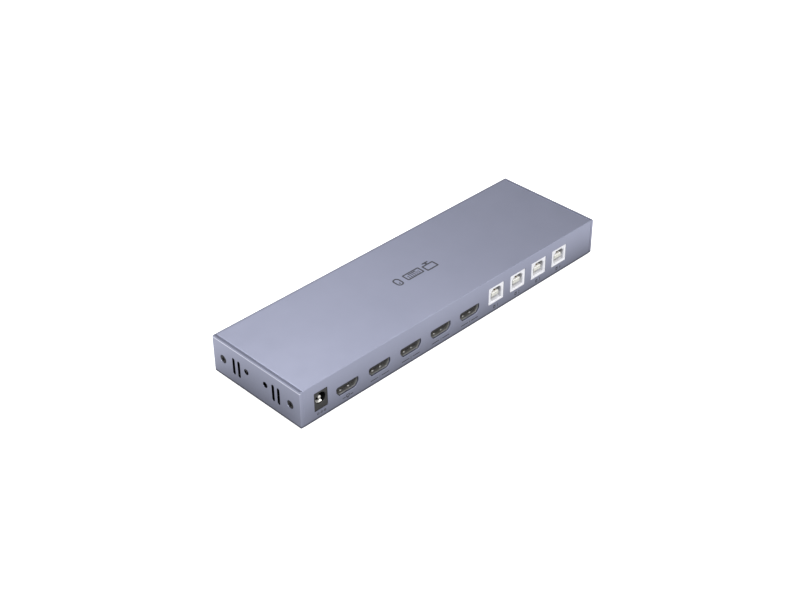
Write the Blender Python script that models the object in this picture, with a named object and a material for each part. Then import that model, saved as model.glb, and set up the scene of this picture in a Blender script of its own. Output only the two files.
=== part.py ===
"""Four-computer keyboard, video and mouse switch box in an extruded aluminium case.

Frame: metres, +Z up. The origin is on the resting plane, under the middle of the case.
+X runs along the length. +Y points to the rear face with the video, host and power sockets,
-Y to the front face with the console sockets, the select button and the channel lights.
Sizes below are in millimetres and are scaled by MM when a shape is made. Heights are above
the case's underside unless they include UNDERSIDE. Names with IN or OUT are inner and outer faces.
"""

import math

import bmesh
import bpy
from mathutils import Matrix, Vector

MM = 0.001  # metres in a millimetre

# Case
LENGTH, WIDTH, HEIGHT = 225.0, 67.8, 22.5
FOOT_H = 1.5
UNDERSIDE = FOOT_H  # the case's underside stands this far above the resting plane
WALL = 1.5
GAP = 0.3  # clearance between neighbouring parts
CAP_T = 2.0  # end cap plate
SEAM = 0.35  # gap between the cover and each end cap
RIM_D = 2.0  # reach of the locating rim behind the cap's plate

HALF_LENGTH, HALF_WIDTH = LENGTH / 2, WIDTH / 2
CAP_IN = HALF_LENGTH - CAP_T
COVER_X = CAP_IN - SEAM
INNER_Y = HALF_WIDTH - WALL
INNER_TOP = HEIGHT - WALL
REAR, FRONT = 1, -1  # sign of Y on each long wall
FRONT_WALL_IN = -INNER_Y
CORNERS = ((1, 1), (1, -1), (-1, 1), (-1, -1))  # signs of X and Y

# Holes in the end faces, shared by the caps and the tray flanges
CAP_SCREW_Y, CAP_SCREW_Z = 26.1, 11.15
SCREW_HEAD_R, SCREW_R, SCREW_SINK = 2.25, 1.25, 1.0
BRACKET_Y, BRACKET_Z, BRACKET_R = 7.35, 13.0, 1.7

# Tray and board
TRAY_T = 1.2
BOARD_Z0, BOARD_T = 3.9, 1.6
BOARD_TOP = BOARD_Z0 + BOARD_T
BOARD_HALF_X, BOARD_HALF_Y = 106.0, 31.4
BOARD_HOLES = ((100.0, 8.0), (100.0, -24.0), (-100.0, 24.0), (-100.0, -24.0))
SEAT = BOARD_TOP + 0.15  # underside of the parts on the board
SEAT_Z = SEAT + UNDERSIDE

# Rear face
VIDEO_XS = {"out": 81.2, "1": 58.8, "2": 36.3, "3": 13.9, "4": -8.5}
VIDEO_Z = 9.05
VIDEO_CUT_W, VIDEO_CUT_H = 15.1, 5.75
HOST_PITCH = 17.6
HOST_XS = {str(n + 1): -29.7 - n * HOST_PITCH for n in range(4)}
HOST_W, HOST_H, HOST_Z = 12.0, 10.7, 11.2
POWER_X, POWER_W, POWER_H = 99.05, 8.6, 11.0

# Front face
CONSOLE_PITCH = 20.0
CONSOLE_XS = {str(n + 1): 22.0 + n * CONSOLE_PITCH for n in range(4)}
CONSOLE_W, CONSOLE_H, CONSOLE_Z = 13.1, 5.7, 9.0
LIGHT_PITCH = 12.0
LIGHT_XS = {str(n + 1): -58.0 + n * LIGHT_PITCH for n in range(4)}
LIGHT_Z, LIGHT_R = 11.2, 1.1
BUTTON_X, BUTTON_Z, BUTTON_R = -82.0, 11.2, 3.6

# Finishes: base colour, roughness, metallic
ANODISED = ((0.41, 0.42, 0.55), 0.38, 1.0)
STEEL = ((0.45, 0.45, 0.47), 0.35, 1.0)
NICKEL = ((0.42, 0.41, 0.39), 0.3, 1.0)
ZINC_SHEET = ((0.52, 0.53, 0.55), 0.42, 1.0)
BLACK_PLASTIC = ((0.018, 0.018, 0.018), 0.45, 0.0)
WHITE_PLASTIC = ((0.80, 0.79, 0.76), 0.4, 0.0)
RUBBER = ((0.02, 0.02, 0.02), 0.85, 0.0)
BOARD_GREEN = ((0.02, 0.13, 0.06), 0.45, 0.0)
CLEAR_PLASTIC = ((0.75, 0.78, 0.8), 0.2, 0.0)
CERAMIC_BLACK = ((0.025, 0.025, 0.028), 0.55, 0.0)
SINK_BLACK = ((0.06, 0.06, 0.065), 0.5, 1.0)
BRIGHT_CAN = ((0.6, 0.6, 0.62), 0.3, 1.0)

for old in list(bpy.data.objects):
    bpy.data.objects.remove(old, do_unlink=True)


# ---------------------------------------------------------------- outlines, as (u, v) pairs
def moved(outline, by_u, by_v):
    return [(by_u + u, by_v + v) for u, v in outline]


def lifted(outline, across=0.0, height=0.0):
    """Upright outline moved across and up, from the case's underside to world height."""
    return moved(outline, across, height + UNDERSIDE)


def mirrored(line):
    """Line mirrored in u and reversed, so that line + mirrored(line) is one run of points."""
    return [(-u, v) for u, v in reversed(line)]


def arc(radius, start, sweep, steps):
    """Points of an arc about the origin, angles in degrees."""
    angles = [math.radians(start + sweep * k / steps) for k in range(steps + 1)]
    return [(radius * math.cos(angle), radius * math.sin(angle)) for angle in angles]


def circle(radius, sides):
    angles = [2 * math.pi * k / sides for k in range(sides)]
    return [(radius * math.cos(angle), radius * math.sin(angle)) for angle in angles]


def rectangle(width, height, radius, steps):
    """Rectangle with rounded corners about the origin, anticlockwise from its lower right."""
    points = []
    for side_u, side_v, start in ((1, -1, -90), (1, 1, 0), (-1, 1, 90), (-1, -1, 180)):
        corner = arc(radius, start, 90.0, steps)
        points += moved(corner, side_u * (width / 2 - radius), side_v * (height / 2 - radius))
    return points


def offset(outline, distance):
    """Convex anticlockwise outline moved outwards by distance."""
    count, result = len(outline), []
    for i in range(count):
        before, corner, after = (Vector(outline[(i + k) % count]) for k in (-1, 0, 1))
        normal_in = Vector(((corner - before).y, -(corner - before).x)).normalized()
        normal_out = Vector(((after - corner).y, -(after - corner).x)).normalized()
        mitre = (normal_in + normal_out).normalized()
        result.append(tuple(corner + mitre * (distance / mitre.dot(normal_in))))
    return result


def video_outline(width, height, x):
    """Video socket outline at world height: full width above, both lower corners drawn in."""
    side, top = width / 2, height / 2
    low, shoulder = side - 0.36 * height, -0.02 * height
    right = [
        (low - 0.35, -top), (low, -top + 0.15), (side - 0.15, shoulder),
        (side, shoulder + 0.4), (side, top - 0.45), (side - 0.45, top),
    ]
    return lifted(right + mirrored(right), x, VIDEO_Z)


# ---------------------------------------------------------------- solids
# Each adds a closed body to the bmesh `into`, or to a new one, and returns the bmesh.
# An outline's u, v are Y, Z for axis x; X, Z for axis y; X, Y for axis z.
def loft(axis, stations, into=None):
    """Body through (position along axis, outline) stations; the last may be a single point."""
    shape = bmesh.new() if into is None else into
    rows = []
    for position, outline in stations:
        points = [{"x": (position, u, v), "y": (u, position, v), "z": (u, v, position)}[axis]
                  for u, v in outline]
        rows.append([shape.verts.new(Vector(point) * MM) for point in points])
    count = len(rows[0])
    for near, far in zip(rows, rows[1:]):
        for i in range(count):
            j = (i + 1) % count
            far_edge = (far[0],) if len(far) == 1 else (far[j], far[i])
            shape.faces.new((near[i], near[j], *far_edge))
    shape.faces.new(rows[0][::-1])
    if len(rows[-1]) > 1:
        shape.faces.new(rows[-1])
    return shape


def prism(axis, start, end, outline, into=None):
    return loft(axis, [(start, outline), (end, outline)], into)


def turned(axis, centre, profile, sides, into=None):
    """Turned body. profile is (position along axis, radius); only its last radius may be 0."""
    stations = [(position, moved(circle(radius, sides), *centre) if radius > 0 else [centre])
                for position, radius in profile]
    return loft(axis, stations, into)


def box(low, high, into=None):
    """Box between two opposite corners."""
    shape = bmesh.new() if into is None else into
    low, high = Vector(low), Vector(high)
    scale = Matrix.Diagonal((*((high - low) * MM), 1.0))
    verts = bmesh.ops.create_cube(shape, size=1.0)["verts"]
    matrix = Matrix.Translation((low + high) * (MM / 2)) @ scale
    bmesh.ops.transform(shape, matrix=matrix, verts=verts)
    return shape


def cross(axis, start, end, centre, span, width):
    """Cross-shaped driver recess."""
    tip, arm = span / 2, width / 2
    right = [(arm, -tip), (arm, -arm), (tip, -arm), (tip, arm), (arm, arm), (arm, tip)]
    return prism(axis, start, end, moved(right + mirrored(right), *centre))


# ---------------------------------------------------------------- objects
def to_object(shape, name="shape"):
    bmesh.ops.recalc_face_normals(shape, faces=shape.faces)
    mesh = bpy.data.meshes.new(name)
    shape.to_mesh(mesh)
    shape.free()
    obj = bpy.data.objects.new(name, mesh)
    bpy.context.scene.collection.objects.link(obj)
    return obj


def combine(target, operation, shape):
    """Boolean of target with shape, which stays in the file as a hidden helper."""
    tool = to_object(shape, f"{target.name}_{operation.lower()}")
    tool.hide_render = True
    tool.display_type = "WIRE"
    tool.hide_set(True)
    modifier = target.modifiers.new(operation.lower(), "BOOLEAN")
    modifier.operation = operation
    modifier.solver = "EXACT"
    modifier.object = tool


def cut(target, shape):
    combine(target, "DIFFERENCE", shape)


def join(target, shape):
    combine(target, "UNION", shape)


def material(name, colour, roughness, metallic):
    result = bpy.data.materials.new(name)
    result.use_nodes = True
    shader = result.node_tree.nodes["Principled BSDF"]
    shader.inputs["Base Color"].default_value = (*colour, 1.0)
    shader.inputs["Roughness"].default_value = roughness
    shader.inputs["Metallic"].default_value = metallic
    result.diffuse_color = (*colour, 1.0)
    return result


def complete(obj, name, finish, smooth=None):
    """Final name and finish, shaded smooth below an edge angle in degrees if one is given."""
    obj.name = name
    obj.data.name = name
    obj.data.materials.append(material(name + "_finish", *finish))
    if smooth is not None:
        obj.data.shade_smooth()
        obj.data.set_sharp_from_angle(angle=math.radians(smooth))


def set_origin(obj, origin):
    """Move the origin of obj and of its boolean helpers, leaving their shapes in place."""
    origin = Vector(origin) * MM
    for item in [obj] + [modifier.object for modifier in obj.modifiers]:
        item.data.transform(Matrix.Translation(-origin))
        item.location = origin


# ---------------------------------------------------------------- cover
EDGE_R = 0.5  # rounding of the long top edges
END_CHAMFER = 0.25
LOW_CHAMFER = 0.2  # along the bottom of each side wall
COVER_FILLET = 0.6  # inside the long top edges; the caps' rims match it
WINDOW_IN, WINDOW_OUT = 2.6, 0.6  # reach of a window's cutter each way from the outer face


def cover_profile(inset):
    """Section of the cover, an arch whose outer line is drawn in by inset."""
    side, top, radius = HALF_WIDTH - inset, HEIGHT - inset, EDGE_R - inset
    outer = [(side - LOW_CHAMFER, 0.0), (side, LOW_CHAMFER)]
    outer += moved(arc(radius, 0, 90.0, 3), side - radius, top - radius)
    inner = [(INNER_Y - COVER_FILLET, INNER_TOP), (INNER_Y, INNER_TOP - COVER_FILLET),
             (INNER_Y, 0.0)]
    return lifted(outer + mirrored(outer) + mirrored(inner) + inner)


def window(cuts, side, outline, chamfer=0.0):
    """Cutter through the REAR or FRONT wall, flared by chamfer at the outer face."""
    face = HALF_WIDTH * side
    stations = [(face - WINDOW_IN * side, outline)]
    if chamfer:
        stations.append((face - chamfer * side, outline))
        outline = offset(outline, chamfer + WINDOW_OUT)
    stations.append((face + WINDOW_OUT * side, outline))
    loft("y", stations, cuts)


def make_cover():
    stations = ((-COVER_X, END_CHAMFER), (-COVER_X + END_CHAMFER, 0.0),
                (COVER_X - END_CHAMFER, 0.0), (COVER_X, END_CHAMFER))
    cover = to_object(loft("x", [(x, cover_profile(inset)) for x, inset in stations]), "cover")
    cuts = bmesh.new()
    for x in VIDEO_XS.values():
        window(cuts, REAR, video_outline(VIDEO_CUT_W, VIDEO_CUT_H, x), chamfer=0.12)
    host = rectangle(HOST_W + 0.3, HOST_H + 0.3, 0.3, 2)
    for x in HOST_XS.values():
        window(cuts, REAR, lifted(host, x, HOST_Z))
    power = rectangle(POWER_W + 0.3, POWER_H + 0.4, 0.25, 2)
    window(cuts, REAR, lifted(power, POWER_X, SEAT + POWER_H / 2))
    console = rectangle(CONSOLE_W + 0.6, CONSOLE_H + 0.6, 0.7, 3)
    for x in CONSOLE_XS.values():
        window(cuts, FRONT, lifted(console, x, CONSOLE_Z), chamfer=0.15)
    for x in LIGHT_XS.values():
        window(cuts, FRONT, lifted(circle(LIGHT_R + 0.2, 16), x, LIGHT_Z))
    button = lifted(circle(BUTTON_R + 0.3, 32), BUTTON_X, BUTTON_Z)
    window(cuts, FRONT, button, chamfer=0.2)
    cut(cover, cuts)
    complete(cover, "cover", ANODISED)


make_cover()

# ---------------------------------------------------------------- end caps
CAP_CHAMFER = 0.6  # at the top of the outer edge; the other sides have a smaller one
CAP_BACK_CHAMFER = 0.15
CAP_CORNER_R = 0.5
CAP_WEB = 0.9  # thickness left in front of the pockets
RIM_T = 1.0
SLOT_YS, SLOT_Z0, SLOT_Z1, SLOT_W = (13.3, 17.4), 6.1, 16.35, 2.0
POCKET_Y, POCKET_Z, POCKET_W, POCKET_H = 12.2, 11.05, 14.0, 11.4


def cap_outline(inset):
    """Plate outline: the top drawn in by inset, the sides by 0.35 and the bottom by 0.2 of it."""
    outline = rectangle(WIDTH - 0.7 * inset, HEIGHT - 1.2 * inset, CAP_CORNER_R - inset * 0.45, 4)
    return lifted(outline, 0.0, HEIGHT / 2 - 0.4 * inset)


def rim_outline():
    """Arch that fits inside the cover, above the tray."""
    side, top, low = INNER_Y - GAP, INNER_TOP - GAP, TRAY_T + GAP
    outer = [(side, low), (side, top - COVER_FILLET), (side - COVER_FILLET, top)]
    inner = [(side - RIM_T, top - RIM_T), (side - RIM_T, low)]
    return lifted(outer + mirrored(outer) + mirrored(inner) + inner)


def end_cap(end, name):
    """Plate at the +X (1) or -X (-1) end, with a locating rim, sunk screw holes, vent slots
    and bracket holes; the slots and bracket holes open into two pockets behind the plate."""
    stations = ((CAP_IN, CAP_BACK_CHAMFER), (CAP_IN + CAP_BACK_CHAMFER, 0.0),
                (HALF_LENGTH - CAP_CHAMFER, 0.0), (HALF_LENGTH, CAP_CHAMFER))
    cap = to_object(loft("x", [(end * x, cap_outline(inset)) for x, inset in stations]), name)
    join(cap, prism("x", end * (CAP_IN - RIM_D), end * (CAP_IN + 0.4), rim_outline()))
    inside, outside = end * (CAP_IN - 1.0), end * (HALF_LENGTH + 1.0)
    # x, radius
    sunk_hole = ((inside, SCREW_R + 0.3), (end * (HALF_LENGTH - SCREW_SINK - 0.25), SCREW_R + 0.3),
                 (end * (HALF_LENGTH - 0.1), SCREW_HEAD_R + 0.2), (outside, SCREW_HEAD_R + 0.2))
    slot = rectangle(SLOT_W, SLOT_Z1 - SLOT_Z0, SLOT_W / 2 - 0.01, 5)
    pocket = rectangle(POCKET_W, POCKET_H, 0.8, 3)
    cuts, pockets = bmesh.new(), bmesh.new()
    for side in (-1, 1):
        turned("x", (side * CAP_SCREW_Y, CAP_SCREW_Z + UNDERSIDE), sunk_hole, 24, cuts)
        bracket_hole = lifted(circle(BRACKET_R, 20), side * BRACKET_Y, BRACKET_Z)
        prism("x", inside, outside, bracket_hole, cuts)
        for y in SLOT_YS:
            prism("x", inside, outside, lifted(slot, side * y, (SLOT_Z0 + SLOT_Z1) / 2), cuts)
        prism("x", end * (CAP_IN - 0.8), end * (HALF_LENGTH - CAP_WEB),
              lifted(pocket, side * POCKET_Y, POCKET_Z), pockets)
    cut(cap, cuts)
    cut(cap, pockets)
    complete(cap, name, ANODISED, smooth=30)


end_cap(1, "end_cap_right")
end_cap(-1, "end_cap_left")


def cap_screw(end, side, name):
    """Countersunk screw along X with its face just under the cap's face."""
    face = HALF_LENGTH - 0.12
    centre = (side * CAP_SCREW_Y, CAP_SCREW_Z + UNDERSIDE)
    # depth below the screw's face, radius
    profile = ((6.0, SCREW_R - 0.35), (5.6, SCREW_R), (SCREW_SINK + 0.15, SCREW_R),
               (0.12, SCREW_HEAD_R), (0.0, SCREW_HEAD_R - 0.12))
    profile = [(end * (face - depth), radius) for depth, radius in profile]
    screw = to_object(turned("x", centre, profile, 24), name)
    cut(screw, cross("x", end * (face - 0.95), end * (face + 0.5), centre, span=2.7, width=0.72))
    complete(screw, name, STEEL, smooth=30)


for n, (end, side) in enumerate(CORNERS, 1):
    cap_screw(end, side, f"end_cap_screw_{n}")

# ---------------------------------------------------------------- tray
FLANGE_T, FLANGE_H, FLANGE_W = 1.2, 18.6, 61.0
FLANGE_OUT = CAP_IN - GAP
BEND_R = 1.6  # outer radius of the folds
PILLAR_R, PILLAR_HOLE_R = 2.6, 1.35
FLANGE_OPENING_W, FLANGE_OPENING_H = 7.6, 11.4
FLANGE_OPENING_Y, FLANGE_OPENING_Z = 15.35, 10.7
VENT_XS = [28.0 * k for k in range(-2, 3)]
VENT_YS = [7.0 * k for k in range(-1, 2)]
VENT_L, VENT_W = 20.0, 2.2


def tray_section():
    """Side view of the folded strip: floor with an upturned flange at each end."""
    outer, inner = (moved(arc(radius, -90, 90.0, 3), FLANGE_OUT - BEND_R, BEND_R)
                    for radius in (BEND_R, BEND_R - TRAY_T))
    tip = [(FLANGE_OUT, FLANGE_H), (FLANGE_OUT - FLANGE_T, FLANGE_H)]
    right = outer + tip + inner[::-1]
    return lifted(right + mirrored(right))


def tray_bosses():
    """Pillars under the board and bosses inside the flanges."""
    bosses = bmesh.new()
    floor = UNDERSIDE + 0.5
    pillar = ((floor, PILLAR_R + 0.6), (UNDERSIDE + TRAY_T + 0.5, PILLAR_R),
              (UNDERSIDE + BOARD_Z0 - GAP, PILLAR_R))
    for centre in BOARD_HOLES:
        turned("z", centre, pillar, 16, bosses)
    for end, side in CORNERS:
        start, stop = end * (FLANGE_OUT - 0.5), end * (FLANGE_OUT - FLANGE_T - 1.6)
        for y, z, radius in ((CAP_SCREW_Y, CAP_SCREW_Z, 2.6), (BRACKET_Y, BRACKET_Z, 2.5)):
            prism("x", start, stop, lifted(circle(radius, 14), side * y, z), bosses)
    return bosses


def tray_cuts():
    """Pillar holes, flange holes and openings, and floor vents."""
    cuts = bmesh.new()
    for x, y in BOARD_HOLES:
        hole = moved(circle(PILLAR_HOLE_R, 12), x, y)
        prism("z", UNDERSIDE + 0.7, UNDERSIDE + BOARD_Z0 + 1, hole, cuts)
    opening = rectangle(FLANGE_OPENING_W, FLANGE_OPENING_H, 1.0, 2)
    for end, side in CORNERS:
        screw_hole = lifted(circle(SCREW_R + 0.15, 12), side * CAP_SCREW_Y, CAP_SCREW_Z)
        bracket_hole = lifted(circle(1.3, 12), side * BRACKET_Y, BRACKET_Z)
        flange_opening = lifted(opening, side * FLANGE_OPENING_Y, FLANGE_OPENING_Z)
        for outline, depth in ((screw_hole, 4), (bracket_hole, 4), (flange_opening, 2)):
            prism("x", end * (FLANGE_OUT - depth), end * (FLANGE_OUT + 1), outline, cuts)
    vent = rectangle(VENT_L, VENT_W, VENT_W / 2 - 0.05, 2)
    for x in VENT_XS:
        for y in VENT_YS:
            prism("z", UNDERSIDE - 1, UNDERSIDE + TRAY_T + 1, moved(vent, x, y), cuts)
    return cuts


tray = to_object(prism("y", -FLANGE_W / 2, FLANGE_W / 2, tray_section()), "base_tray")
wide_floor = rectangle(2 * (CAP_IN - RIM_D - GAP), 2 * (INNER_Y - GAP), 0.8, 2)
join(tray, prism("z", UNDERSIDE, UNDERSIDE + TRAY_T, wide_floor))
join(tray, tray_bosses())
cut(tray, tray_cuts())
complete(tray, "base_tray", ZINC_SHEET)

FOOT_X, FOOT_Y = 96.0, 22.5
FOOT_PROFILE = ((0.0, 4.3), (0.35, 4.8), (FOOT_H - 0.1, 5.0))  # z, radius
for n, (end, side) in enumerate(CORNERS, 1):
    foot = to_object(turned("z", (end * FOOT_X, side * FOOT_Y), FOOT_PROFILE, 28))
    complete(foot, f"rubber_foot_{n}", RUBBER, smooth=40)


# ---------------------------------------------------------------- main board and its screws
def main_board():
    bottom, top = UNDERSIDE + BOARD_Z0, UNDERSIDE + BOARD_TOP
    outline = rectangle(2 * BOARD_HALF_X, 2 * BOARD_HALF_Y, 1.5, 3)
    board = to_object(prism("z", bottom, top, outline), "main_board")
    holes = bmesh.new()
    for x, y in BOARD_HOLES:
        prism("z", bottom - 1, top + 1, moved(circle(1.5, 16), x, y), holes)
    cut(board, holes)
    complete(board, "main_board", BOARD_GREEN)


def board_screw(centre, name):
    shank_r, head_r, head_h = 1.1, 2.3, 1.5
    bottom = UNDERSIDE + TRAY_T
    top = UNDERSIDE + BOARD_TOP + 0.2 + head_h
    # z, radius
    profile = ((bottom + 0.1, 0.8), (bottom + 0.4, shank_r), (top - head_h, shank_r),
               (top - head_h, head_r), (top - 0.45, head_r), (top, 1.7))
    screw = to_object(turned("z", centre, profile, 20), name)
    cut(screw, cross("z", top - 0.9, top + 0.5, centre, span=2.3, width=0.6))
    complete(screw, name, STEEL, smooth=30)


main_board()
for n, centre in enumerate(BOARD_HOLES, 1):
    board_screw(centre, f"board_screw_{n}")


# ---------------------------------------------------------------- power socket
def power_socket():
    depth, bore_r, bore_d, bore_up, pin_r = 14.2, 3.25, 9.8, 6.45, 1.0
    face = HALF_WIDTH - 0.1
    bore_floor = face - bore_d
    centre = (POWER_X, SEAT + bore_up + UNDERSIDE)
    body = to_object(box((POWER_X - POWER_W / 2, face - depth, SEAT_Z),
                         (POWER_X + POWER_W / 2, face, SEAT + POWER_H + UNDERSIDE)),
                     "power_socket")
    bore = ((bore_floor, bore_r), (face - 0.35, bore_r), (face + 1.0, bore_r + 1.35))  # y, radius
    cut(body, turned("y", centre, bore, 32))
    pin_hole = moved(circle(pin_r + 0.12, 20), *centre)
    cut(body, prism("y", bore_floor - 2.2, bore_floor + 1.0, pin_hole))
    complete(body, "power_socket_housing", BLACK_PLASTIC)

    # y, radius
    pin = ((bore_floor - 2.0, pin_r), (face - 1.25, pin_r), (face - 1.05, pin_r * 0.9),
           (face - 0.95, pin_r * 0.65), (face - 0.95, 0.0))
    complete(to_object(turned("y", centre, pin, 20)), "power_socket_pin", NICKEL, smooth=40)

    # Curved leaf along the lower part of the bore
    outer, inner = (arc(bore_r - inset, 232, 108.0, 12) for inset in (0.14, 0.42))
    leaf = moved(outer + inner[::-1], *centre)
    contact = to_object(prism("y", bore_floor + 0.3, face - 0.9, leaf))
    complete(contact, "power_socket_contact", NICKEL, smooth=40)


power_socket()

# ---------------------------------------------------------------- video sockets
VIDEO_W, VIDEO_H, VIDEO_SHEET, VIDEO_DEPTH = 14.45, 5.1, 0.3, 11.5
VIDEO_TONGUE_W, VIDEO_TONGUE_H, VIDEO_TONGUE_UP = 11.9, 1.25, 0.35
VIDEO_FACE = HALF_WIDTH - 0.75  # shell front, behind the outer face of the wall


def video_socket(tag, x):
    """Open metal shell, and a block at its inner end that carries the tongue."""
    outer = video_outline(VIDEO_W, VIDEO_H, x)
    back = VIDEO_FACE - VIDEO_DEPTH
    shell = to_object(prism("y", back, VIDEO_FACE, outer), "shell")
    cut(shell, prism("y", back - 1, VIDEO_FACE + 1, offset(outer, -VIDEO_SHEET)))
    complete(shell, f"video_{tag}_shell", NICKEL)
    block_outline = offset(outer, -VIDEO_SHEET - 0.12)
    block = to_object(prism("y", back + 0.2, VIDEO_FACE - 8.2, block_outline), "block")
    tongue = lifted(rectangle(VIDEO_TONGUE_W, VIDEO_TONGUE_H, 0.2, 1), x, VIDEO_Z + VIDEO_TONGUE_UP)
    join(block, prism("y", VIDEO_FACE - 9.0, VIDEO_FACE - 1.0, tongue))
    complete(block, f"video_{tag}_tongue", BLACK_PLASTIC)


for tag, x in VIDEO_XS.items():
    video_socket(tag, x)

# ---------------------------------------------------------------- host sockets
MOUTH_W, MOUTH_H, MOUTH_CUT = 8.45, 7.8, 1.75  # opening and its cut upper corners
HOST_TONGUE_W, HOST_TONGUE_H = 5.6, 3.2
HOST_FACE = HALF_WIDTH - 0.05  # just behind the outer face of the wall
HOST_BACK = HOST_FACE - 16.0
HOST_FLOOR = HOST_FACE - 11.5  # bottom of the opening


def inset_stations(stations, width, height, radius, steps, x, z):
    """Upright rounded rectangles, each drawn in by its inset; stations are (y, inset)."""
    return [(y, lifted(rectangle(width - 2 * inset, height - 2 * inset, radius, steps), x, z))
            for y, inset in stations]


def host_socket(tag, x):
    """Housing with a flared opening, and a contact block with a tongue inside it."""
    stations = ((HOST_BACK, 0.1), (HOST_FACE - 0.25, 0.0), (HOST_FACE, 0.2))
    housing = to_object(
        loft("y", inset_stations(stations, HOST_W, HOST_H, 0.35, 2, x, HOST_Z)), "housing")
    side, top = MOUTH_W / 2, MOUTH_H / 2
    right = [(side, -top), (side, top - MOUTH_CUT), (side - MOUTH_CUT, top)]
    mouth = lifted(right + mirrored(right), x, HOST_Z)
    cut(housing, loft("y", [(HOST_BACK - 1, mouth), (HOST_FACE - 0.4, mouth),
                            (HOST_FACE + 0.6, offset(mouth, 0.75))]))
    complete(housing, f"host_{tag}_housing", WHITE_PLASTIC)

    carrier = to_object(prism("y", HOST_BACK + 0.2, HOST_FLOOR, offset(mouth, -0.12)), "carrier")
    stations = ((HOST_FLOOR - 1, 0.0), (HOST_FACE - 1.2, 0.0), (HOST_FACE - 0.8, 0.3))
    join(carrier, loft("y", inset_stations(
        stations, HOST_TONGUE_W, HOST_TONGUE_H, 0.25, 1, x, HOST_Z)))
    complete(carrier, f"host_{tag}_contact_block", WHITE_PLASTIC)


for tag, x in HOST_XS.items():
    host_socket(tag, x)

# ---------------------------------------------------------------- console sockets
CONSOLE_SHEET = 0.3
CONSOLE_TONGUE_W, CONSOLE_TONGUE_H, CONSOLE_TONGUE_UP = 11.1, 1.85, 0.95
CONSOLE_FACE = FRONT_WALL_IN + 0.7
CONSOLE_BACK = CONSOLE_FACE + 14.0


def console_socket(tag, x):
    """Open metal shell, and a block at its inner end that carries the tongue."""
    outer = lifted(rectangle(CONSOLE_W, CONSOLE_H, 0.6, 2), x, CONSOLE_Z)
    inner_w, inner_h = CONSOLE_W - 2 * CONSOLE_SHEET, CONSOLE_H - 2 * CONSOLE_SHEET
    inner = lifted(rectangle(inner_w, inner_h, 0.35, 2), x, CONSOLE_Z)
    shell = to_object(prism("y", CONSOLE_FACE, CONSOLE_BACK, outer), "shell")
    cut(shell, prism("y", CONSOLE_FACE - 1, CONSOLE_BACK + 1, inner))
    complete(shell, f"console_{tag}_shell", NICKEL)
    block_outline = lifted(rectangle(inner_w - 0.25, inner_h - 0.25, 0.3, 1), x, CONSOLE_Z)
    block = to_object(prism("y", CONSOLE_BACK - 3.5, CONSOLE_BACK - 0.2, block_outline), "block")
    tongue = rectangle(CONSOLE_TONGUE_W, CONSOLE_TONGUE_H, 0.15, 1)
    join(block, prism("y", CONSOLE_FACE + 0.9, CONSOLE_BACK - 3.0,
                      lifted(tongue, x, CONSOLE_Z + CONSOLE_TONGUE_UP)))
    complete(block, f"console_{tag}_tongue", WHITE_PLASTIC)


for tag, x in CONSOLE_XS.items():
    console_socket(tag, x)

# ---------------------------------------------------------------- select button and its switch
BUTTON_CENTRE = (BUTTON_X, BUTTON_Z + UNDERSIDE)
BUTTON_ORIGIN = (BUTTON_X, FRONT_WALL_IN, BUTTON_CENTRE[1])  # on the line the button slides along
BUTTON_PROUD = 0.8
BUTTON_BACK = FRONT_WALL_IN + 3.2
PLUNGER_FRONT = BUTTON_BACK + GAP
SWITCH_FRONT = PLUNGER_FRONT + 2.0


def select_button():
    """Dished button with a collar behind the wall and a stem."""
    front, collar = -HALF_WIDTH - BUTTON_PROUD, FRONT_WALL_IN + GAP
    collar_r, collar_t, stem_r = BUTTON_R + 1.0, 0.8, 2.2
    # y, radius
    profile = (
        (front, BUTTON_R - 0.75), (front + 0.1, BUTTON_R - 0.4), (front + 0.4, BUTTON_R),
        (collar, BUTTON_R), (collar, collar_r), (collar + collar_t, collar_r),
        (collar + collar_t, stem_r), (BUTTON_BACK, stem_r),
    )
    dish = ((front - 1.0, 3.4), (front, 2.45), (front + 0.22, 1.6), (front + 0.3, 0.0))
    button = to_object(turned("y", BUTTON_CENTRE, profile, 28), "select_button")
    cut(button, turned("y", BUTTON_CENTRE, dish, 28))
    complete(button, "select_button", ANODISED, smooth=35)
    set_origin(button, BUTTON_ORIGIN)


def switch_plunger():
    profile = ((PLUNGER_FRONT, 1.5), (PLUNGER_FRONT + 0.25, 1.75), (SWITCH_FRONT + 0.7, 1.75))
    plunger = to_object(turned("y", BUTTON_CENTRE, profile, 20))
    complete(plunger, "select_switch_plunger", BLACK_PLASTIC, smooth=40)
    set_origin(plunger, BUTTON_ORIGIN)


def switch_body():
    half_width, depth, above_centre = 3.5, 4.5, 3.4
    low = (BUTTON_X - half_width, SWITCH_FRONT, SEAT_Z)
    high = (BUTTON_X + half_width, SWITCH_FRONT + depth, BUTTON_CENTRE[1] + above_centre)
    switch = to_object(box(low, high), "switch")
    hole = moved(circle(1.95, 20), *BUTTON_CENTRE)
    cut(switch, prism("y", SWITCH_FRONT - 1, SWITCH_FRONT + 1.4, hole))
    complete(switch, "select_switch_body", BLACK_PLASTIC)


select_button()
switch_plunger()
switch_body()


# ---------------------------------------------------------------- channel lights
def channel_light(tag, x):
    """Bent light pipe: a round rod through the wall and a square leg down to the board."""
    # y, radius
    rod = ((-HALF_WIDTH + 0.02, 0.55), (-HALF_WIDTH + 0.12, LIGHT_R - 0.15),
           (-HALF_WIDTH + 0.35, LIGHT_R), (FRONT_WALL_IN + 3.4, LIGHT_R))
    pipe = to_object(turned("y", (x, LIGHT_Z + UNDERSIDE), rod, 16), "pipe")
    foot, top = SEAT + 0.9, LIGHT_Z + 1.25
    # distance behind the wall's inner face, height
    leg = [(2.0, foot), (4.6, foot), (4.6, LIGHT_Z - 0.6), (3.0, top), (2.0, top)]
    join(pipe, prism("x", x - 1.3, x + 1.3, lifted(leg, FRONT_WALL_IN)))
    complete(pipe, f"channel_light_{tag}", CLEAR_PLASTIC)


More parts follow.
